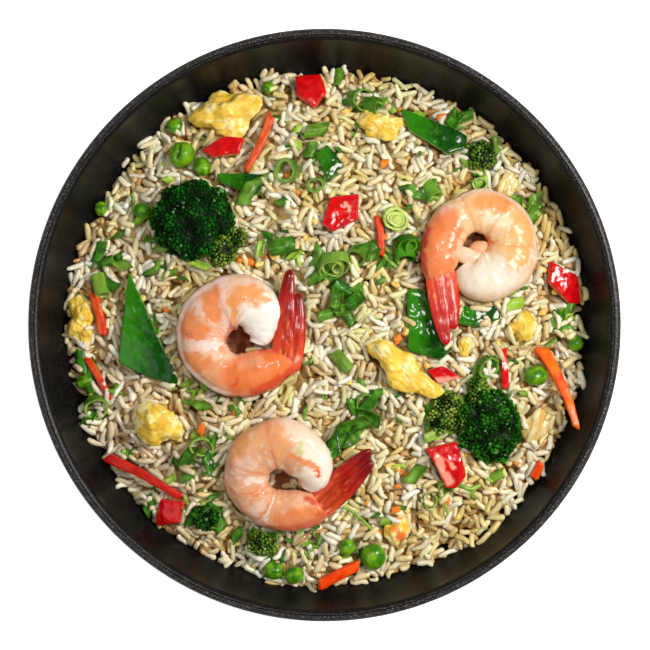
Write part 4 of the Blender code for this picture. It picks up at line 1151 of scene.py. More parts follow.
def pea(number, x, y, lift, radius, stretch):
    return pea_shape(radius, stretch, number), laid(x, y, lift, number * 40)


def extra_pea(number, x, y, lift, radius, stretch):
    return pea_shape(radius, stretch, number + 20), laid(x, y, lift, number * 50)


def ball_form(subdivisions):
    form = bmesh.new()
    bmesh.ops.create_icosphere(form, subdivisions=subdivisions, radius=1)
    points = np.array([point.co for point in form.verts])
    faces = np.array([[point.index for point in face.verts] for face in form.faces])
    form.free()
    return points, faces


BALLS = {level: ball_form(level) for level in (1, 3, 4, 5)}


def blob_points(level, radii, depth, size, seed):
    """A lump of the solid's own form, its faces, and the ball that it came from."""
    points, faces = BALLS[level]
    place = points * np.array(radii)
    shift = Vector((seed * 7.1, seed * 3.3, 0.7))
    fold = np.array([noise.noise(Vector(point) / size + shift) for point in place])
    place[:, 2] = np.where(points[:, 2] < 0, place[:, 2] * 0.75, place[:, 2])
    return place * (1 + depth * 2 * fold)[:, None], faces, points


def egg(number, x, y, lift, yaw, radii, depth, size):
    """A soft fold of scrambled egg with smooth creamy swells, painted highlights on the swells, and
    painted shade in its creases and underneath.
    """
    points, faces, normals = blob_points(5 if radii[0] > 7 else 4, radii, depth, size, number)
    swell = wave(points * np.array([1, 1.3, 1]), 4.2, number + 0.2, 2)
    crease = 1 - np.abs(wave(points * np.array([1, 1.6, 1]), 3.4, number + 6.0, 2)) * 2.4
    curd = wave(points, 1.7, number + 3.0, 2)
    push = 0.8 * swell - 0.45 * smooth(0.45, 1.0, crease) + 0.16 * curd
    points = points + normals * push[:, None]
    tone = wave(points, 4.4, number + 9.0, 2)
    tint = mix(srgb(244, 200, 66), srgb(252, 224, 104), 0.5 + tone)
    # Painted highlight: paler cream where the swells rise, mixed with the random tone
    tint = mix(tint, srgb(255, 240, 170), smooth(0.1, 0.65, tone + 0.7 * swell + 0.3 * curd))
    # Painted shade: darker amber along the creases
    tint = mix(tint, srgb(226, 158, 44), smooth(0.7, 1.0, crease) * 0.65)
    # Painted shade: darker on the downward-facing sides
    tint = mix(tint, srgb(212, 148, 44), smooth(0.1, -0.7, normals[:, 2]) * 0.5)
    if number in ORANGE_EGGS:
        patch = wave(points, 5.0, number + 14.0, 1)
        tint = mix(tint, srgb(255, 112, 14), smooth(0.12, 0.3, patch) * 0.85)
    return Shape(points, [faces], tint), laid(x, y, lift, yaw)


def onion(number, x, y, lift, yaw, radii, depth, size):
    """A flat translucent bit of cooked onion in two or three layers."""
    points, faces, normals = blob_points(5, radii, depth, size, number)
    points[:, 2] *= 0.8
    layer = np.tanh(3 * np.sin(points[:, 1] * 1.3 + wave(points, 7.0, number) * 1.5))
    push = 0.3 * layer + 0.3 * wave(points, 3.5, number + 1, 2)
    points = points + normals * push[:, None]
    tone = wave(points, 3.6, number + 4.0, 2)
    tint = mix(srgb(222, 184, 104), srgb(244, 226, 170), 0.5 + tone + 0.3 * layer)
    # Painted shade: darker on the downward-facing sides
    tint = mix(tint, srgb(206, 150, 62), smooth(0.2, -0.7, normals[:, 2]) * 0.6)
    return Shape(points, [faces], tint), laid(x, y, lift, yaw)


def egg_crumb(number, x, y):
    size = DICE.uniform(0.7, 1.6)
    radii = (size * DICE.uniform(0.9, 1.5), size, size * 0.8)
    points, faces, _ = blob_points(3, radii, 0.3, size * 1.6, number)
    low, high = (240, 184, 70), (252, 226, 140)
    if DICE.random() < ORANGE_CRUMBS:
        low, high = (244, 110, 20), (255, 160, 50)
    tint = mix(srgb(*low), srgb(*high), 0.5 + wave(points, 2.0, number, 2))
    matrix = laid(x, y, DICE.uniform(0.0, 0.6), DICE.uniform(0, 360))
    return Shape(points, [faces], tint), matrix


# ---------------------------------------------------------------- broccoli
def on_ball(count, turn_step, start):
    """Places spread evenly over a ball along a spiral."""
    index = np.arange(count)
    height = 1 - 2 * (index + 0.5) / count
    turn = index * math.radians(turn_step) + start
    ring = np.sqrt(1 - height**2)
    return np.stack([ring * np.cos(turn), ring * np.sin(turn), height], 1)


def stem_shape(number, radii, length, radius, way):
    """A pale stem that leans out to one side from under its crown."""
    outward = np.array([math.cos(math.radians(way)), math.sin(math.radians(way)), -0.35])
    outward /= np.linalg.norm(outward)
    side = np.cross(outward, UPWARD)
    side /= np.linalg.norm(side)
    over = np.cross(side, outward)
    along = np.linspace(-0.5, 0.5, 30)
    fan = np.arange(36) * TAU / 36
    thick = radius * (1.35 - 0.35 * (along + 0.5)) * (1 - 0.12 * smooth(0.42, 0.5, along))
    wide, tall = (thick[:, None] * part for part in (np.cos(fan), np.sin(fan)))
    reach = (radii[0] + radii[1]) / 2 * 0.55 + length / 2
    middle = outward * reach + outward * (along * (length + radii[2]))[:, None]
    rings = swept(middle, side, over, wide, tall)
    rings = rings + (over * 0.25) * wave(rings, 2.0, number + 3.0, 2)[..., None]
    points, faces = loft(rings)
    tint = mix(srgb(118, 150, 54), srgb(168, 190, 92), 0.5 + wave(points, 2.6, number + 4.0, 3))
    tint[-1] = srgb(206, 216, 130)
    return Shape(points, faces, tint)


def broccoli(number, x, y, lift, yaw, radii, stem, stem_way, florets, *tints):
    """A crown of buds in florets on its stem, with painted shade and light: the crown under the
    buds near-black, buds between florets darker, those on top lighter, and a few paler buds as
    painted glints.
    """
    dark, light = (srgb(*tint) for tint in tints or TIP_TINTS)
    centres = on_ball(florets, FLORET_TURN, number)
    spread = 2.2 / math.sqrt(florets)
    radii = np.array(radii)

    def swollen(points):
        nearest = np.linalg.norm(points[:, None, :] - centres[None], axis=2).min(1)
        rise = np.clip(1 - (nearest / spread) ** 2, 0, 1)
        place = points * radii * (0.81 + 0.26 * rise[:, None])
        place[:, 2] = np.where(points[:, 2] < 0, place[:, 2] * 0.6, place[:, 2])
        return place, rise

    points, faces = BALLS[5 if radii[0] > 8 else 4]
    base, rise = swollen(points)
    base = base + points * (wave(base, 1.5, number, 2) * 0.3)[:, None]
    # Painted shade: the crown under the buds is near-black, darkest between the florets
    shape = Shape(base, [faces], mix(srgb(3, 12, 2), srgb(14, 44, 6), rise))

    amount = int(4 * math.pi * (radii.prod() ** (2 / 3)) / BUD_AREA)
    dots = on_ball(amount, BUD_TURN, RNG.normal(0, 0.02, amount))
    dots = dots + RNG.normal(0, 0.018, dots.shape)
    dots /= np.linalg.norm(dots, axis=1)[:, None]
    dots = dots[dots[:, 2] > -0.45]
    place, rise = swollen(dots)
    ball, ball_faces = BALLS[1]
    lively = wave(place, 5.0, number + 12.0, 2)
    for spot, out, share, fresh in zip(place, dots, rise, lively):
        size = RNG.uniform(*BUD_SIZE) * (0.8 + 0.3 * share)
        tone = RNG.uniform(0, 1)
        # Painted light and shade: buds on top of a floret lighter, those between florets darkened
        # to near-black
        tint = mix(dark, light, tone * tone * 0.7 + 0.3 * share + 0.35 * fresh)
        tint = mix(srgb(3, 14, 2), tint, 0.15 + 0.85 * share)
        # Painted glints: a few buds paler, as sparkles of light
        if RNG.uniform() < GLINT_BUDS:
            tint = mix(tint, srgb(150, 206, 130), 0.4)
        bud = spot + out * (RNG.uniform(-0.1, 0.5) + 0.3 * share)
        shape.add(bud + ball * size, [ball_faces], tint)
    shape.join(stem_shape(number, radii, *stem, stem_way))
    return shape, laid(x, y, lift, yaw)


# ---------------------------------------------------------------- scallions and herbs
def tube_shape(radius, wall, length, seed, lightness, squash):
    """A short hollow length of scallion, ribbed along its outer side."""
    around = 72
    outer_rows = 9
    turn = np.arange(around) * TAU / around
    wobble = 1 + 0.07 * np.cos(2 * turn + seed) + 0.04 * np.cos(3 * turn + 2.0 * seed)
    outside = mix(srgb(8, 80, 2), srgb(156, 198, 58), lightness)
    streak = mix(srgb(62, 150, 8), srgb(210, 230, 110), lightness)
    inside = mix(srgb(80, 146, 18), srgb(214, 226, 130), lightness)
    ribs = np.cos(turn * 17 + seed)
    ribbed = mix(outside, streak, 0.4 + 0.1 * ribs + 0.35 * np.cos(turn - seed))
    middle = 1 - 0.5 * wall / radius
    profile = [(1.0, share) for share in np.linspace(1, -1, outer_rows)]
    profile.append((middle, -1.03))
    profile += [(1 - wall / radius, share * 0.98) for share in np.linspace(-1, 1, outer_rows)]
    profile.append((middle, 1.03))
    rows = []
    for index, (across, share) in enumerate(profile):
        ring = radius * across * wobble * (1 + 0.005 * ribs if index < outer_rows else 1)
        height = np.full(around, share * length / 2)
        rows.append(np.stack([ring * np.cos(turn), ring * np.sin(turn) * squash, height], -1))
    tints = [ribbed] * outer_rows + [np.tile(inside, (around, 1))] * (outer_rows + 2)
    rings = np.array(rows + rows[:1])
    rings += wave(rings, 2.6, seed, 2)[..., None] * 0.14
    rings[-1] = rings[0]
    points, faces = loft(rings[::-1], caps=False)
    tint = np.array(tints + tints[:1])[::-1].reshape(-1, 3)
    return Shape(points, faces, tint * (1 + 0.25 * wave(points, 2.0, seed + 2.1, 2))[:, None])


def scallion_ring(number, x, y, lift, lean, radius, wall, length, lightness, squash):
    return tube_shape(radius, wall, length, number, lightness, squash), laid(x, y, lift, 0, lean)


def herb_tube(number, x, y, lift, yaw, lean, length, radius, wall, lightness):
    shape = tube_shape(radius, wall, length, number * 1.7, lightness, 0.85)
    return shape, laid(x, y, lift + 0.4, yaw, lean)


def leaf_shape(length, width, curl, lightness, seed):
    """A straight-cut bit of the wall of a scallion tube."""
    rows, across = (12, 11) if length > 6 else (8, 8)
    opening = math.radians(70 + 60 * min(1.6, curl))
    radius = width / 2 / math.sin(min(opening, math.pi) / 2)
    along = np.linspace(-1, 1, rows)
    side = np.linspace(-1, 1, across)
    angle = side * opening / 2
    slant = 0.35 * math.sin(seed * 5)
    sheets = []
    for ring in (radius, radius - 0.42):
        flat_x = (along * length / 2)[:, None] + slant * side * width
        flat_y = np.broadcast_to(ring * np.sin(angle) * (1 - 0.08 * side), flat_x.shape)
        height = np.broadcast_to(ring * np.cos(angle) - radius, flat_x.shape)
        sheets.append(np.stack([flat_x, flat_y, height - 0.25 * curl * along[:, None] ** 2], -1))
    top, low = sheets
    if math.sin(seed * 9) < -0.4:
        top, low = (sheet * np.array([1, -1, -1]) for sheet in (low, top))
    push = wave(top * np.array([1, 1, 0]), 3.2, seed, 2) * 0.5
    top[..., 2] += push
    low[..., 2] += push
    points, faces = loft(np.concatenate([top, low[:, ::-1]], 1))
    both_sides = np.concatenate([side, side[::-1]])
    shade = 0.14 * np.sin(both_sides * 12 + seed) - 0.25 * both_sides**2
    tone = np.concatenate([np.tile(shade, rows), [0, 0]]) + wave(points, 3.0, seed + 1.0, 2) * 0.6
    return Shape(points, faces, leaf_skin(lightness)(points, tone))


def strip_shape(line, width, lift, seed, lightness=0.45):
    """A narrow strand of scallion along a line on the heap."""
    line = np.array(line, float)
    steps = 20
    places = np.linspace(0, len(line) - 1, steps)
    path = [eased(np.interp(places, np.arange(len(line)), row), 3) for row in line.T]
    z = mound(*path) + lift + np.sin(np.linspace(0, 3, steps) + seed) * 0.5
    heading = np.gradient(np.stack(path, 1), axis=0)
    heading /= np.linalg.norm(heading, axis=1)[:, None]
    side = np.stack([-heading[:, 1], heading[:, 0], heading[:, 0] * 0], 1)[:, None, :]
    fan = np.arange(8) * TAU / 8
    half = (width / 2 * (0.7 + 0.3 * np.sin(np.linspace(0.3, 2.8, steps))))[:, None]
    middle = np.stack([*path, z], 1)
    rings = swept(middle, side, UPWARD, half * np.cos(fan), half * 0.55 * np.sin(fan))
    points, faces = loft(rings)
    return Shape(points, faces, leaf_skin(lightness)(points, wave(points, 2.0, seed, 2)))


def herb_leaf(number, x, y, lift, yaw, length, width, curl, lightness):
    shape = leaf_shape(length, width, curl, lightness, number * 1.3)
    return shape, laid(x, y, lift + 0.8, yaw, (DICE.uniform(-15, 15), DICE.uniform(-12, 12)))


def herb_strip(number, line, width, lift):
    return (strip_shape(line, width, lift, number * 2.3),)


def small_herb(number, x, y):
    """A shred or a cut leaf, lying any way round."""
    lightness = DICE.choice(HERB_LIGHTNESS)
    if DICE.random() < SHRED_SHARE:
        way = DICE.uniform(0, TAU)
        bend = DICE.uniform(-0.9, 0.9)
        line = [(x, y)]
        for _ in range(3):
            reach = DICE.uniform(1.2, 2.6)
            x += reach * math.cos(way)
            y += reach * math.sin(way)
            line.append((x, y))
            way += bend
        width = DICE.uniform(0.8, 1.7)
        return (strip_shape(line, width, DICE.uniform(0.4, 1.2), number * 1.9, lightness),)
    length = DICE.uniform(1.8, 5.4)
    width = length * DICE.uniform(0.35, 0.8)
    shape = leaf_shape(length, width, DICE.uniform(0.2, 1.0), lightness, number * 1.7)
    lean = (DICE.uniform(-35, 35), DICE.uniform(-30, 30))
    return shape, laid(x, y, DICE.uniform(0.4, 1.4), DICE.uniform(0, 360), lean)


def scattered(clusters, count):
    """Places for small bits, most of them in clusters and the rest anywhere on the heap."""
    spots = []
    while len(spots) < count:
        if DICE.random() < CLUSTERED:
            x, y, spread = DICE.choice(clusters)
            spot = (x + DICE.gauss(0, spread), y + DICE.gauss(0, spread))
        else:
            way = DICE.uniform(0, TAU)
            reach = (LAST_BIT - 1) * math.sqrt(DICE.random())
            spot = (reach * math.cos(way), reach * math.sin(way))
        if math.hypot(*spot) < LAST_BIT:
            spots.append(spot)
    return spots


# ---------------------------------------------------------------- the height of what lies there
SIZE = int(2 * REACH / CELL) + 1
AXIS = np.linspace(-REACH, REACH, SIZE)
GRID_X, GRID_Y = np.meshgrid(AXIS, AXIS, indexing="ij")
GRID_R = np.hypot(GRID_X, GRID_Y)
GRID_FLAT = np.stack([GRID_X, GRID_Y, GRID_X * 0], -1)


def clumped(points):
    """How far each place belongs to a clump of sticky rice, from 0 to 1."""
    flat = points * np.array([1.0, 1.0, 0.0])
    return smooth(-0.16, 0.14, wave(flat, 8.0, 21.5, 2))


def cells(x, y):
    """Cells of the height map under places on the heap."""
    return tuple(np.clip(((spot + REACH) / CELL + 0.5).astype(int), 0, SIZE - 1)
                 for spot in (x, y))


# TARGET is how high the rice goes, CORE the heap under the grains, TOP what lies there now,
# and BLOCKED where no grain may start
WALL_ZS = np.linspace(FLOOR_Z, BOWL_HEIGHT, 400)
WALL_RADII = inner_radius(WALL_ZS)
WALL_Z = np.interp(GRID_R, WALL_RADII, WALL_ZS, left=FLOOR_Z, right=BOWL_HEIGHT + 6)
TARGET = mound(GRID_X, GRID_Y) - 0.6
TARGET += 1.7 * wave(GRID_FLAT, 12.0, 0.5, 1) + 1.6 * wave(GRID_FLAT, 5.5, 1.5, 2)
TARGET -= 3.0 * smooth(0.12, 0.5, wave(GRID_FLAT, 8.0, 9.5, 2))
TARGET += smooth(84, 98, GRID_R) * (0.8 + 3.0 * wave(GRID_FLAT, 8.0, 2.5, 2))
CORE = TARGET - CORE_DEPTH + CLUMP_RISE * clumped(GRID_FLAT) - 3.0 * smooth(86, 97, GRID_R)
TOP = np.maximum(CORE, WALL_Z)
BLOCKED = np.zeros((SIZE, SIZE), bool)


def stamp(shape):
    """Raises the height map to a piece's upper side, all but a narrow rim of it."""
    points = shape.all_points()
    tree = BVHTree.FromPolygons(points.tolist(), shape.all_faces())
    low = np.clip(((points.min(0)[:2] + REACH) / CELL).astype(int) - 1, 0, SIZE - 1)
    high = np.clip(((points.max(0)[:2] + REACH) / CELL).astype(int) + 2, 0, SIZE - 1)
    ceiling = points[:, 2].max() + 5
    patch = np.full((high[0] - low[0], high[1] - low[1]), -1e3)
    for row, column in np.ndindex(*patch.shape):
        start = Vector((AXIS[low[0] + row], AXIS[low[1] + column], ceiling))
        hit = tree.ray_cast(start, Vector((0, 0, -1)))[0]
        if hit is not None:
            patch[row, column] = hit.z
    kept = patch > -999
    for _ in range(RIM_CELLS):
        inner = kept.copy()
        inner[1:] &= kept[:-1]
        inner[:-1] &= kept[1:]
        inner[:, 1:] &= kept[:, :-1]
        inner[:, :-1] &= kept[:, 1:]
        kept = inner
    block = (slice(low[0], high[0]), slice(low[1], high[1]))
    TOP[block] = np.where(kept, np.maximum(TOP[block], patch), TOP[block])
    BLOCKED[block] |= kept


# ---------------------------------------------------------------- rice
def resting(x, y, length, radius, yaws):
    """Height and slope at which a grain comes to rest, for each way that it may lie."""
    spots = np.linspace(-0.5, 0.5, 7)
    profile = np.sqrt(np.clip(1 - np.abs(2 * spots) ** GRAIN_BLUNT, 0.05, 1)) * radius
    across = np.array([-0.75, 0.0, 0.75])
    left = [0, 0, 0, 1, 1, 1, 2, 2, 2]
    right = [4, 5, 6, 4, 5, 6, 4, 5, 6]
    cosine = np.cos(yaws)[:, None, None]
    sine = np.sin(yaws)[:, None, None]
    place = spots * length
    run = place[None, :, None]
    wide = profile[None, :, None] * across[None, None, :]
    below = cells(x + run * cosine - wide * sine, y + run * sine + wide * cosine)
    need = (TOP[below] + profile[None, :, None] * np.sqrt(1 - across**2)[None, None, :]).max(2)
    span = place[right] - place[left]
    middle = (need[:, left] * place[right] - need[:, right] * place[left]) / span
    slope = (need[:, right] - need[:, left]) / span
    slope = slope[np.arange(len(yaws)), middle.argmax(1)]
    slope = np.clip(slope, -GRAIN_STEEP, GRAIN_STEEP)
    return (need - slope[:, None] * place[None, :]).max(1), slope


def lay_grain(x, y, z, yaw, lean, length, radius):
    """Raises the height map under a grain to its upper side."""
    spots = np.linspace(-0.5, 0.5, 19)
    profile = (np.sqrt(np.clip(1 - np.abs(2 * spots) ** GRAIN_BLUNT, 0.0, 1)) * radius)[:, None]
    across = np.linspace(-0.95, 0.95, 7)
    run = (spots * length)[:, None]
    wide = profile * across[None, :]
    below = cells(x + run * math.cos(yaw) - wide * math.sin(yaw),
                  y + run * math.sin(yaw) + wide * math.cos(yaw))
    np.maximum.at(TOP, below, z + lean * run + profile * np.sqrt(1 - across**2)[None, :])


def deposit():
    """Drops grains one at a time into the lowest places until the heap is up to its height."""
    grains = []
    open_cells = None
    drops = 0
    misses = 0
    lack = FIRST_LACK
    while lack <= LAST_LACK:
        if open_cells is None or drops >= DROPS_PER_LOOK:
            open_cells = np.flatnonzero((TARGET - TOP > lack) & ~BLOCKED)
            drops = 0
            if len(open_cells) < FEW_PLACES:
                break
        picks = RNG.choice(open_cells, 3)
        pick = picks[np.argmax(TARGET.ravel()[picks] - TOP.ravel()[picks])]
        x = AXIS[pick // SIZE] + RNG.uniform(-0.4, 0.4)
        y = AXIS[pick % SIZE] + RNG.uniform(-0.4, 0.4)
        length = RNG.uniform(*(BROKEN_LENGTH if RNG.uniform() < BROKEN_SHARE else GRAIN_LENGTH))
        radius = RNG.uniform(*GRAIN_WIDTH) / 2
        yaws = RNG.uniform(0, math.pi, YAWS_TRIED)
        height, slope = resting(x, y, length, radius, yaws)
        choice = int(np.argmin(height + RNG.uniform(0, 0.5, YAWS_TRIED)))
        z = height[choice] - GRAIN_SINK
        lean = slope[choice]
        over = PROUD + (RNG.uniform(0, PROUD_MORE) if RNG.uniform() < PROUD_SHARE else 0)
        limit = TARGET.ravel()[pick] + over
        drops += 1
        if z > limit or z + abs(lean) * length / 2 > limit + 1.5:
            misses += 1
            if misses > MISSES:
                lack += LACK_STEP
                misses = 0
                open_cells = None
            continue
        misses = max(0, misses - 20)
        grains.append((x, y, z, yaws[choice], lean, length, radius))
        lay_grain(*grains[-1])
    return np.array(grains)


def grain_shapes(grains, tints):
    """The meshes of all grains, bent a little and blunt at both ends."""
    count = len(grains)
    x, y, z, yaw, lean, length, radius = grains.T
    forward = np.stack([np.cos(yaw), np.sin(yaw), lean], 1)
    forward /= np.linalg.norm(forward, axis=1)[:, None]
    side = np.stack([-np.sin(yaw), np.cos(yaw), yaw * 0], 1)
    over = np.cross(forward, side)
    spots = np.array(GRAIN_SPOTS)
    rows = len(spots)
    profile = np.sqrt(1 - np.abs(2 * spots) ** GRAIN_BLUNT)
    turn = np.arange(GRAIN_AROUND) * TAU / GRAIN_AROUND
    flat = RNG.uniform(0.78, 0.98, count)
    skew = RNG.uniform(-0.2, 0.2, count)
    bend = RNG.normal(0, 0.42, count)
    bend_back = RNG.normal(0, 0.2, count)
    sag = RNG.uniform(-0.3, 0.2, count)
    twist = RNG.uniform(0, TAU, count)
    uneven = RNG.uniform(0.88, 1.1, (count, rows))
    size = radius[:, None] * profile * (1 + skew[:, None] * 2 * spots) * uneven
    angle = turn + twist[:, None]
    bow = 1 - (2 * spots) ** 2
    sideways = bend[:, None] * bow + bend_back[:, None] * np.sin(TAU * spots)
    centre = (
        np.stack([x, y, z], 1)[:, None, :]
        + forward[:, None, :] * (length[:, None] * spots)[..., None]
        + side[:, None, :] * sideways[..., None]
        + over[:, None, :] * (sag[:, None] * bow)[..., None]
    )
    lumpy = 1 + RNG.uniform(-0.11, 0.11, (count, rows, GRAIN_AROUND))
    wide = size[:, :, None] * np.cos(angle)[:, None, :] * lumpy
    tall = size[:, :, None] * np.sin(angle)[:, None, :] * flat[:, None, None] * lumpy
    rings = (
        centre[:, :, None, :]
        + side[:, None, None, :] * wide[..., None]
        + over[:, None, None, :] * tall[..., None]
    )
    tip = forward * (length * 0.012)[:, None]
    tips = np.stack([centre[:, 0] - tip, centre[:, -1] + tip], 1)
    per = rows * GRAIN_AROUND
    points = np.concatenate([rings.reshape(count, per, 3), tips], 1)
    sides, *ends = loft(rings[0])[1]
    step = (np.arange(count) * (per + 2))[:, None, None]
    faces = [(block[None] + step).reshape(-1, block.shape[1])
             for block in (sides, np.concatenate(ends))]
    return Shape(points.reshape(-1, 3), faces, np.repeat(tints, per + 2, axis=0))


def grain_tints(grains):
    """Cream on the clumps and yellower between them, with painted light and shade: lighter on the
    clumps, darker off them, browner the deeper a grain lies.
    """
    count = len(grains)
    x, y, z = grains.T[:3]
    flat = np.stack([x, y, x * 0], 1)
    clump = clumped(flat)
    # Yellower between the clumps: partly the rice's own colour, partly painted shade
    yellow = 0.6 - 0.45 * clump + 0.6 * wave(flat, 22.0, 4.0, 2) + RNG.normal(0, 0.22, count)
    tints = mix(srgb(252, 242, 214), srgb(246, 218, 142), yellow)
    green = smooth(0.25, 0.7, wave(flat, 14.0, 7.0, 2) + RNG.normal(0, 0.14, count))
    tints = mix(tints, srgb(222, 222, 130), green * 0.5)
    # Greyer pink toward the left and lower left: partly the rice's own tone, partly painted shade
    # on the side away from the key light
    left_pink_shade = smooth(20, 80, -x) * smooth(40, -50, y)
    tints = mix(tints, srgb(232, 212, 190), left_pink_shade * 0.5)
    # Painted shade: grains lying deeper under the heap's height are browner
    depth = TARGET[cells(x, y)] - z
    tints = mix(tints, srgb(208, 152, 70), smooth(0.3, 2.3, depth) * 0.85)
    # Painted light and shade: grains on the clumps lighter, the rest darker; the wave is random
    # tone
    bright = 0.84 + 0.19 * clump + 0.14 * wave(flat, 9.0, 12.0, 2)
    return np.minimum(tints * (bright * RNG.uniform(0.9, 1.05, count))[:, None], 0.98)


def core_height(x, y):
    return CORE[cells(x, y)] + 0.3


def core_shape():
    """The closed heap under the grains, out to where it meets the wall."""
    turns = 200
    fan = np.arange(turns) * TAU / turns
    reach = np.full(turns, 60.0)
    for radius in np.linspace(60, 104, 180):
        wall = float(np.interp(radius, WALL_RADII, WALL_ZS))
        inside = core_height(radius * np.cos(fan), radius * np.sin(fan)) > wall + 0.4
        reach = np.where(inside & (reach > radius - 0.4), radius, reach)
    reach = eased(reach, 2, "wrap")
    rings = []
    for share in np.linspace(0.01, 1, 100):
        radius = share * reach
        x = radius * np.cos(fan)
        y = radius * np.sin(fan)
        wall = np.interp(radius, WALL_RADII, WALL_ZS, left=FLOOR_Z)
        points = np.stack([x, y, core_height(x, y)], 1)
        points[:, 2] += 0.6 * wave(points, 2.2, 3.0, 2)
        points[:, 2] = np.maximum(points[:, 2], wall + 0.25) if share < 1 else wall + 0.25
        rings.append(points)
    edge = np.interp(reach, WALL_RADII, WALL_ZS) - 0.5
    for share in np.linspace(0.04, 1, 12):
        z = edge * (1 - share) + (FLOOR_Z + 0.6) * share
        radius = inner_radius(z) - 0.5
        rings.append(np.stack([radius * np.cos(fan), radius * np.sin(fan), z], 1))
    points, faces = loft(np.array(rings))
    # Golden brown of the sauced rice, darkened as painted shade of the gaps between the grains, and
    # lighter under the clumps
    tint = mix(srgb(148, 98, 32), srgb(196, 146, 60), 0.5 + wave(points, 7.0, 6.0, 3))
    tint = mix(tint, srgb(232, 206, 146), 0.75 * clumped(points))
    # Reddish brown in the shrimp holes: juice colour with painted shade of the hollow
    for x, y, radius in SHRIMP_HOLES:
        gap = np.hypot(points[:, 0] - x, points[:, 1] - y)
        tint = mix(tint, srgb(146, 84, 52), 1 - smooth(radius, radius + 1.0, gap))
    return Shape(points, faces, tint)


# ---------------------------------------------------------------- putting it together
def put(name, shape, look, nodes=()):
    """Adds a topping, and notes its height for the rice around it."""
    finish_object(name, shape, MATERIALS[look], nodes)
    stamp(shape)


def each(kind, rows, first=1):
    """Names of the CAD nodes that a table's rows replace."""
    return [f"{kind}_{number}" for number in range(first, first + len(rows))]


def make_toppings():
    for number, row in enumerate(SHRIMPS, 1):
        made = gathered([row], shrimp, number)
        if number == len(SHRIMPS):
            made.join(gathered(SHRIMP_FOLDS, shrimp_fold))
        put(f"shrimp_{number}_cooked", made, "cooked_shrimp", [f"shrimp_{number}"])

    large, small = BROCCOLI[:2], BROCCOLI[2:]
    for number, row in enumerate(large, 1):
        made = gathered([row], broccoli, number)
        put(f"broccoli_{number}_buds", made, "broccoli_green", [f"broccoli_{number}"])
    small_buds = gathered(small, broccoli, 3)
    put("floret_tips", gathered(FLORET_TIPS, broccoli, 11), "broccoli_green")
    nodes = each("broccoli", small, 3)
    put("broccoli_small_buds", small_buds, "broccoli_green", nodes)

    pods = slab_maker(8, lambda _: side_lit_pod_skin, srgb(120, 170, 50), ripple=0.35, corner_share=0.08)
    put("snow_pea_cuts", gathered(SNOW_PEAS, pods), "pod_green",
          each("snow_pea", SNOW_PEAS))
    peppers = slab_maker(10, pepper_skin, srgb(226, 70, 30),
                         ripple=0.32, ragged=0.2, corner_share=0.1)
    put("red_pepper_cuts", gathered(RED_PEPPERS, peppers), "pepper_red",
          each("red_pepper", RED_PEPPERS))
    leaves = slab_maker(13, lambda _: leaf_skin(0.12), srgb(60, 120, 24),
                        ripple=0.9, vein=0.04, ragged=1.2, corner_share=0.1)
    put("scallion_leaf_cuts", gathered(SCALLION_LEAVES, leaves), "scallion_green",
          each("scallion_leaf", SCALLION_LEAVES))

    for name, rows, make, look, slot, kind in (
        ("carrot_sticks", CARROTS, carrot, "carrot_orange", "carrot", "carrot"),
        ("egg_folds", EGGS, egg, "egg_yellow", "egg", "egg"),
        ("onion_bits", ONIONS, onion, "onion_gold", "onion", "onion"),
        ("green_peas", PEAS, pea, "pea_green", "pea", "pea"),
        ("scallion_rings", SCALLION_RINGS, scallion_ring, "scallion_green", "scallion",
         "scallion_ring"),
    ):
        put(name, gathered(rows, make), look, each(kind, rows))

    herbs = gathered(HERB_TUBES, herb_tube)
    herbs.join(gathered(HERB_LEAVES, herb_leaf))
    herbs.join(gathered(HERB_STRIPS, herb_strip))
    herbs.join(gathered(scattered(HERB_CLUSTERS, HERBS), small_herb))
    put("herb_bits", herbs, "scallion_green")
    crumbs = gathered(scattered(CRUMB_CLUSTERS, CRUMBS), egg_crumb)
    put("egg_crumbs", crumbs, "egg_yellow")
    put("diced_bits", gathered(CUBES, diced_bit), "carrot_orange")
    put("small_peas", gathered(EXTRA_PEAS, extra_pea), "pea_green")


def make_rice():
    for x, y, radius in SHRIMP_HOLES:
        BLOCKED[np.hypot(GRID_X - x, GRID_Y - y) < radius] = True
    finish_object("rice_core", core_shape(), MATERIALS["rice_core"], ["rice"])
    grains = deposit()
    tints = grain_tints(grains)
    for number, chosen in enumerate(np.array_split(np.argsort(grains[:, 0]), GRAIN_PIECES), 1):
        shape = grain_shapes(grains[chosen], tints[chosen])
        finish_object(f"rice_grains_{number}", shape, MATERIALS["rice_grain"])


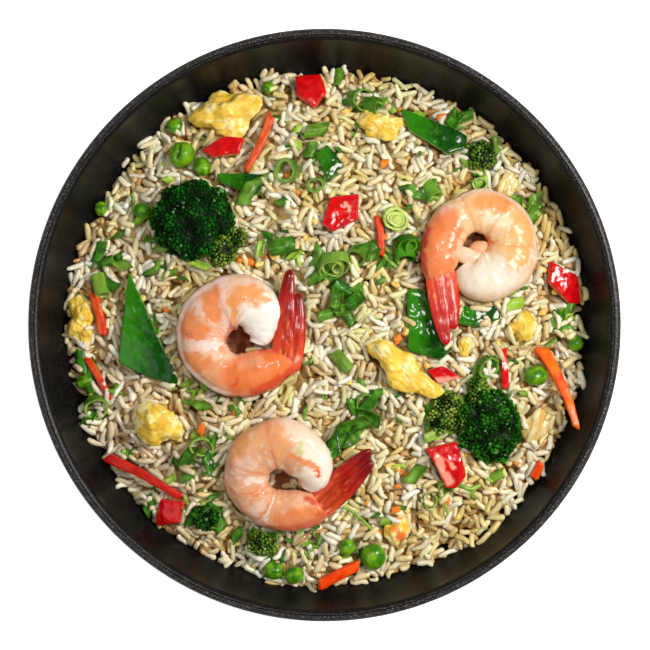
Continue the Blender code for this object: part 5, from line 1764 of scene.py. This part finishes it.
def make_stage():
    mesh = bpy.data.meshes.new("floor")
    half = 3.0
    corners = [(-half, -half, 0), (half, -half, 0), (half, half, 0), (-half, half, 0)]
    mesh.from_pydata(corners, [], [(0, 1, 2, 3)])
    floor = bpy.data.objects.new("floor", mesh)
    bpy.context.scene.collection.objects.link(floor)
    made, _, _, shader = new_material("white_floor")
    shader.inputs["Base Color"].default_value = (FLOOR_GREY, FLOOR_GREY, FLOOR_GREY, 1)
    shader.inputs["Roughness"].default_value = 0.9
    shader.inputs["Emission Color"].default_value = (1, 1, 1, 1)
    shader.inputs["Emission Strength"].default_value = FLOOR_GLOW
    mesh.materials.append(made)

    for name, azimuth, elevation, distance, size, power, colour in LIGHTS:
        light = bpy.data.lights.new(name, "AREA")
        light.shape = "DISK"
        light.size = size
        light.energy = power
        light.color = colour
        lamp = bpy.data.objects.new(name, light)
        bpy.context.scene.collection.objects.link(lamp)
        turn, rise = math.radians(azimuth), math.radians(elevation)
        out = math.cos(rise)
        way = Vector((math.cos(turn) * out, math.sin(turn) * out, math.sin(rise)))
        lamp.location = way * distance
        lamp.rotation_mode = "QUATERNION"
        lamp.rotation_quaternion = way.to_track_quat("Z", "Y")

    world = bpy.data.worlds.new("studio")
    world.use_nodes = True
    nodes = world.node_tree.nodes
    links = world.node_tree.links
    direction = nodes.new("ShaderNodeTexCoord")
    parts = nodes.new("ShaderNodeSeparateXYZ")
    links.new(direction.outputs["Generated"], parts.inputs["Vector"])
    sky = ramp_node(nodes, links, parts.outputs["Z"], [(z, (grey,) * 3) for z, grey in SKY])
    links.new(sky, nodes["Background"].inputs["Color"])
    nodes["Background"].inputs["Strength"].default_value = SKY_STRENGTH
    bpy.context.scene.world = world
    bpy.context.scene.view_settings.view_transform = "Standard"

    camera = bpy.data.cameras.new("camera")
    camera.lens = CAMERA_LENS
    camera.sensor_width = 36
    camera.clip_start = 0.05
    camera.clip_end = 20
    eye = bpy.data.objects.new("camera", camera)
    bpy.context.scene.collection.objects.link(eye)
    eye.location = CAMERA_PLACE
    bpy.context.scene.camera = eye


make_bowl()
make_toppings()
make_rice()
make_stage()
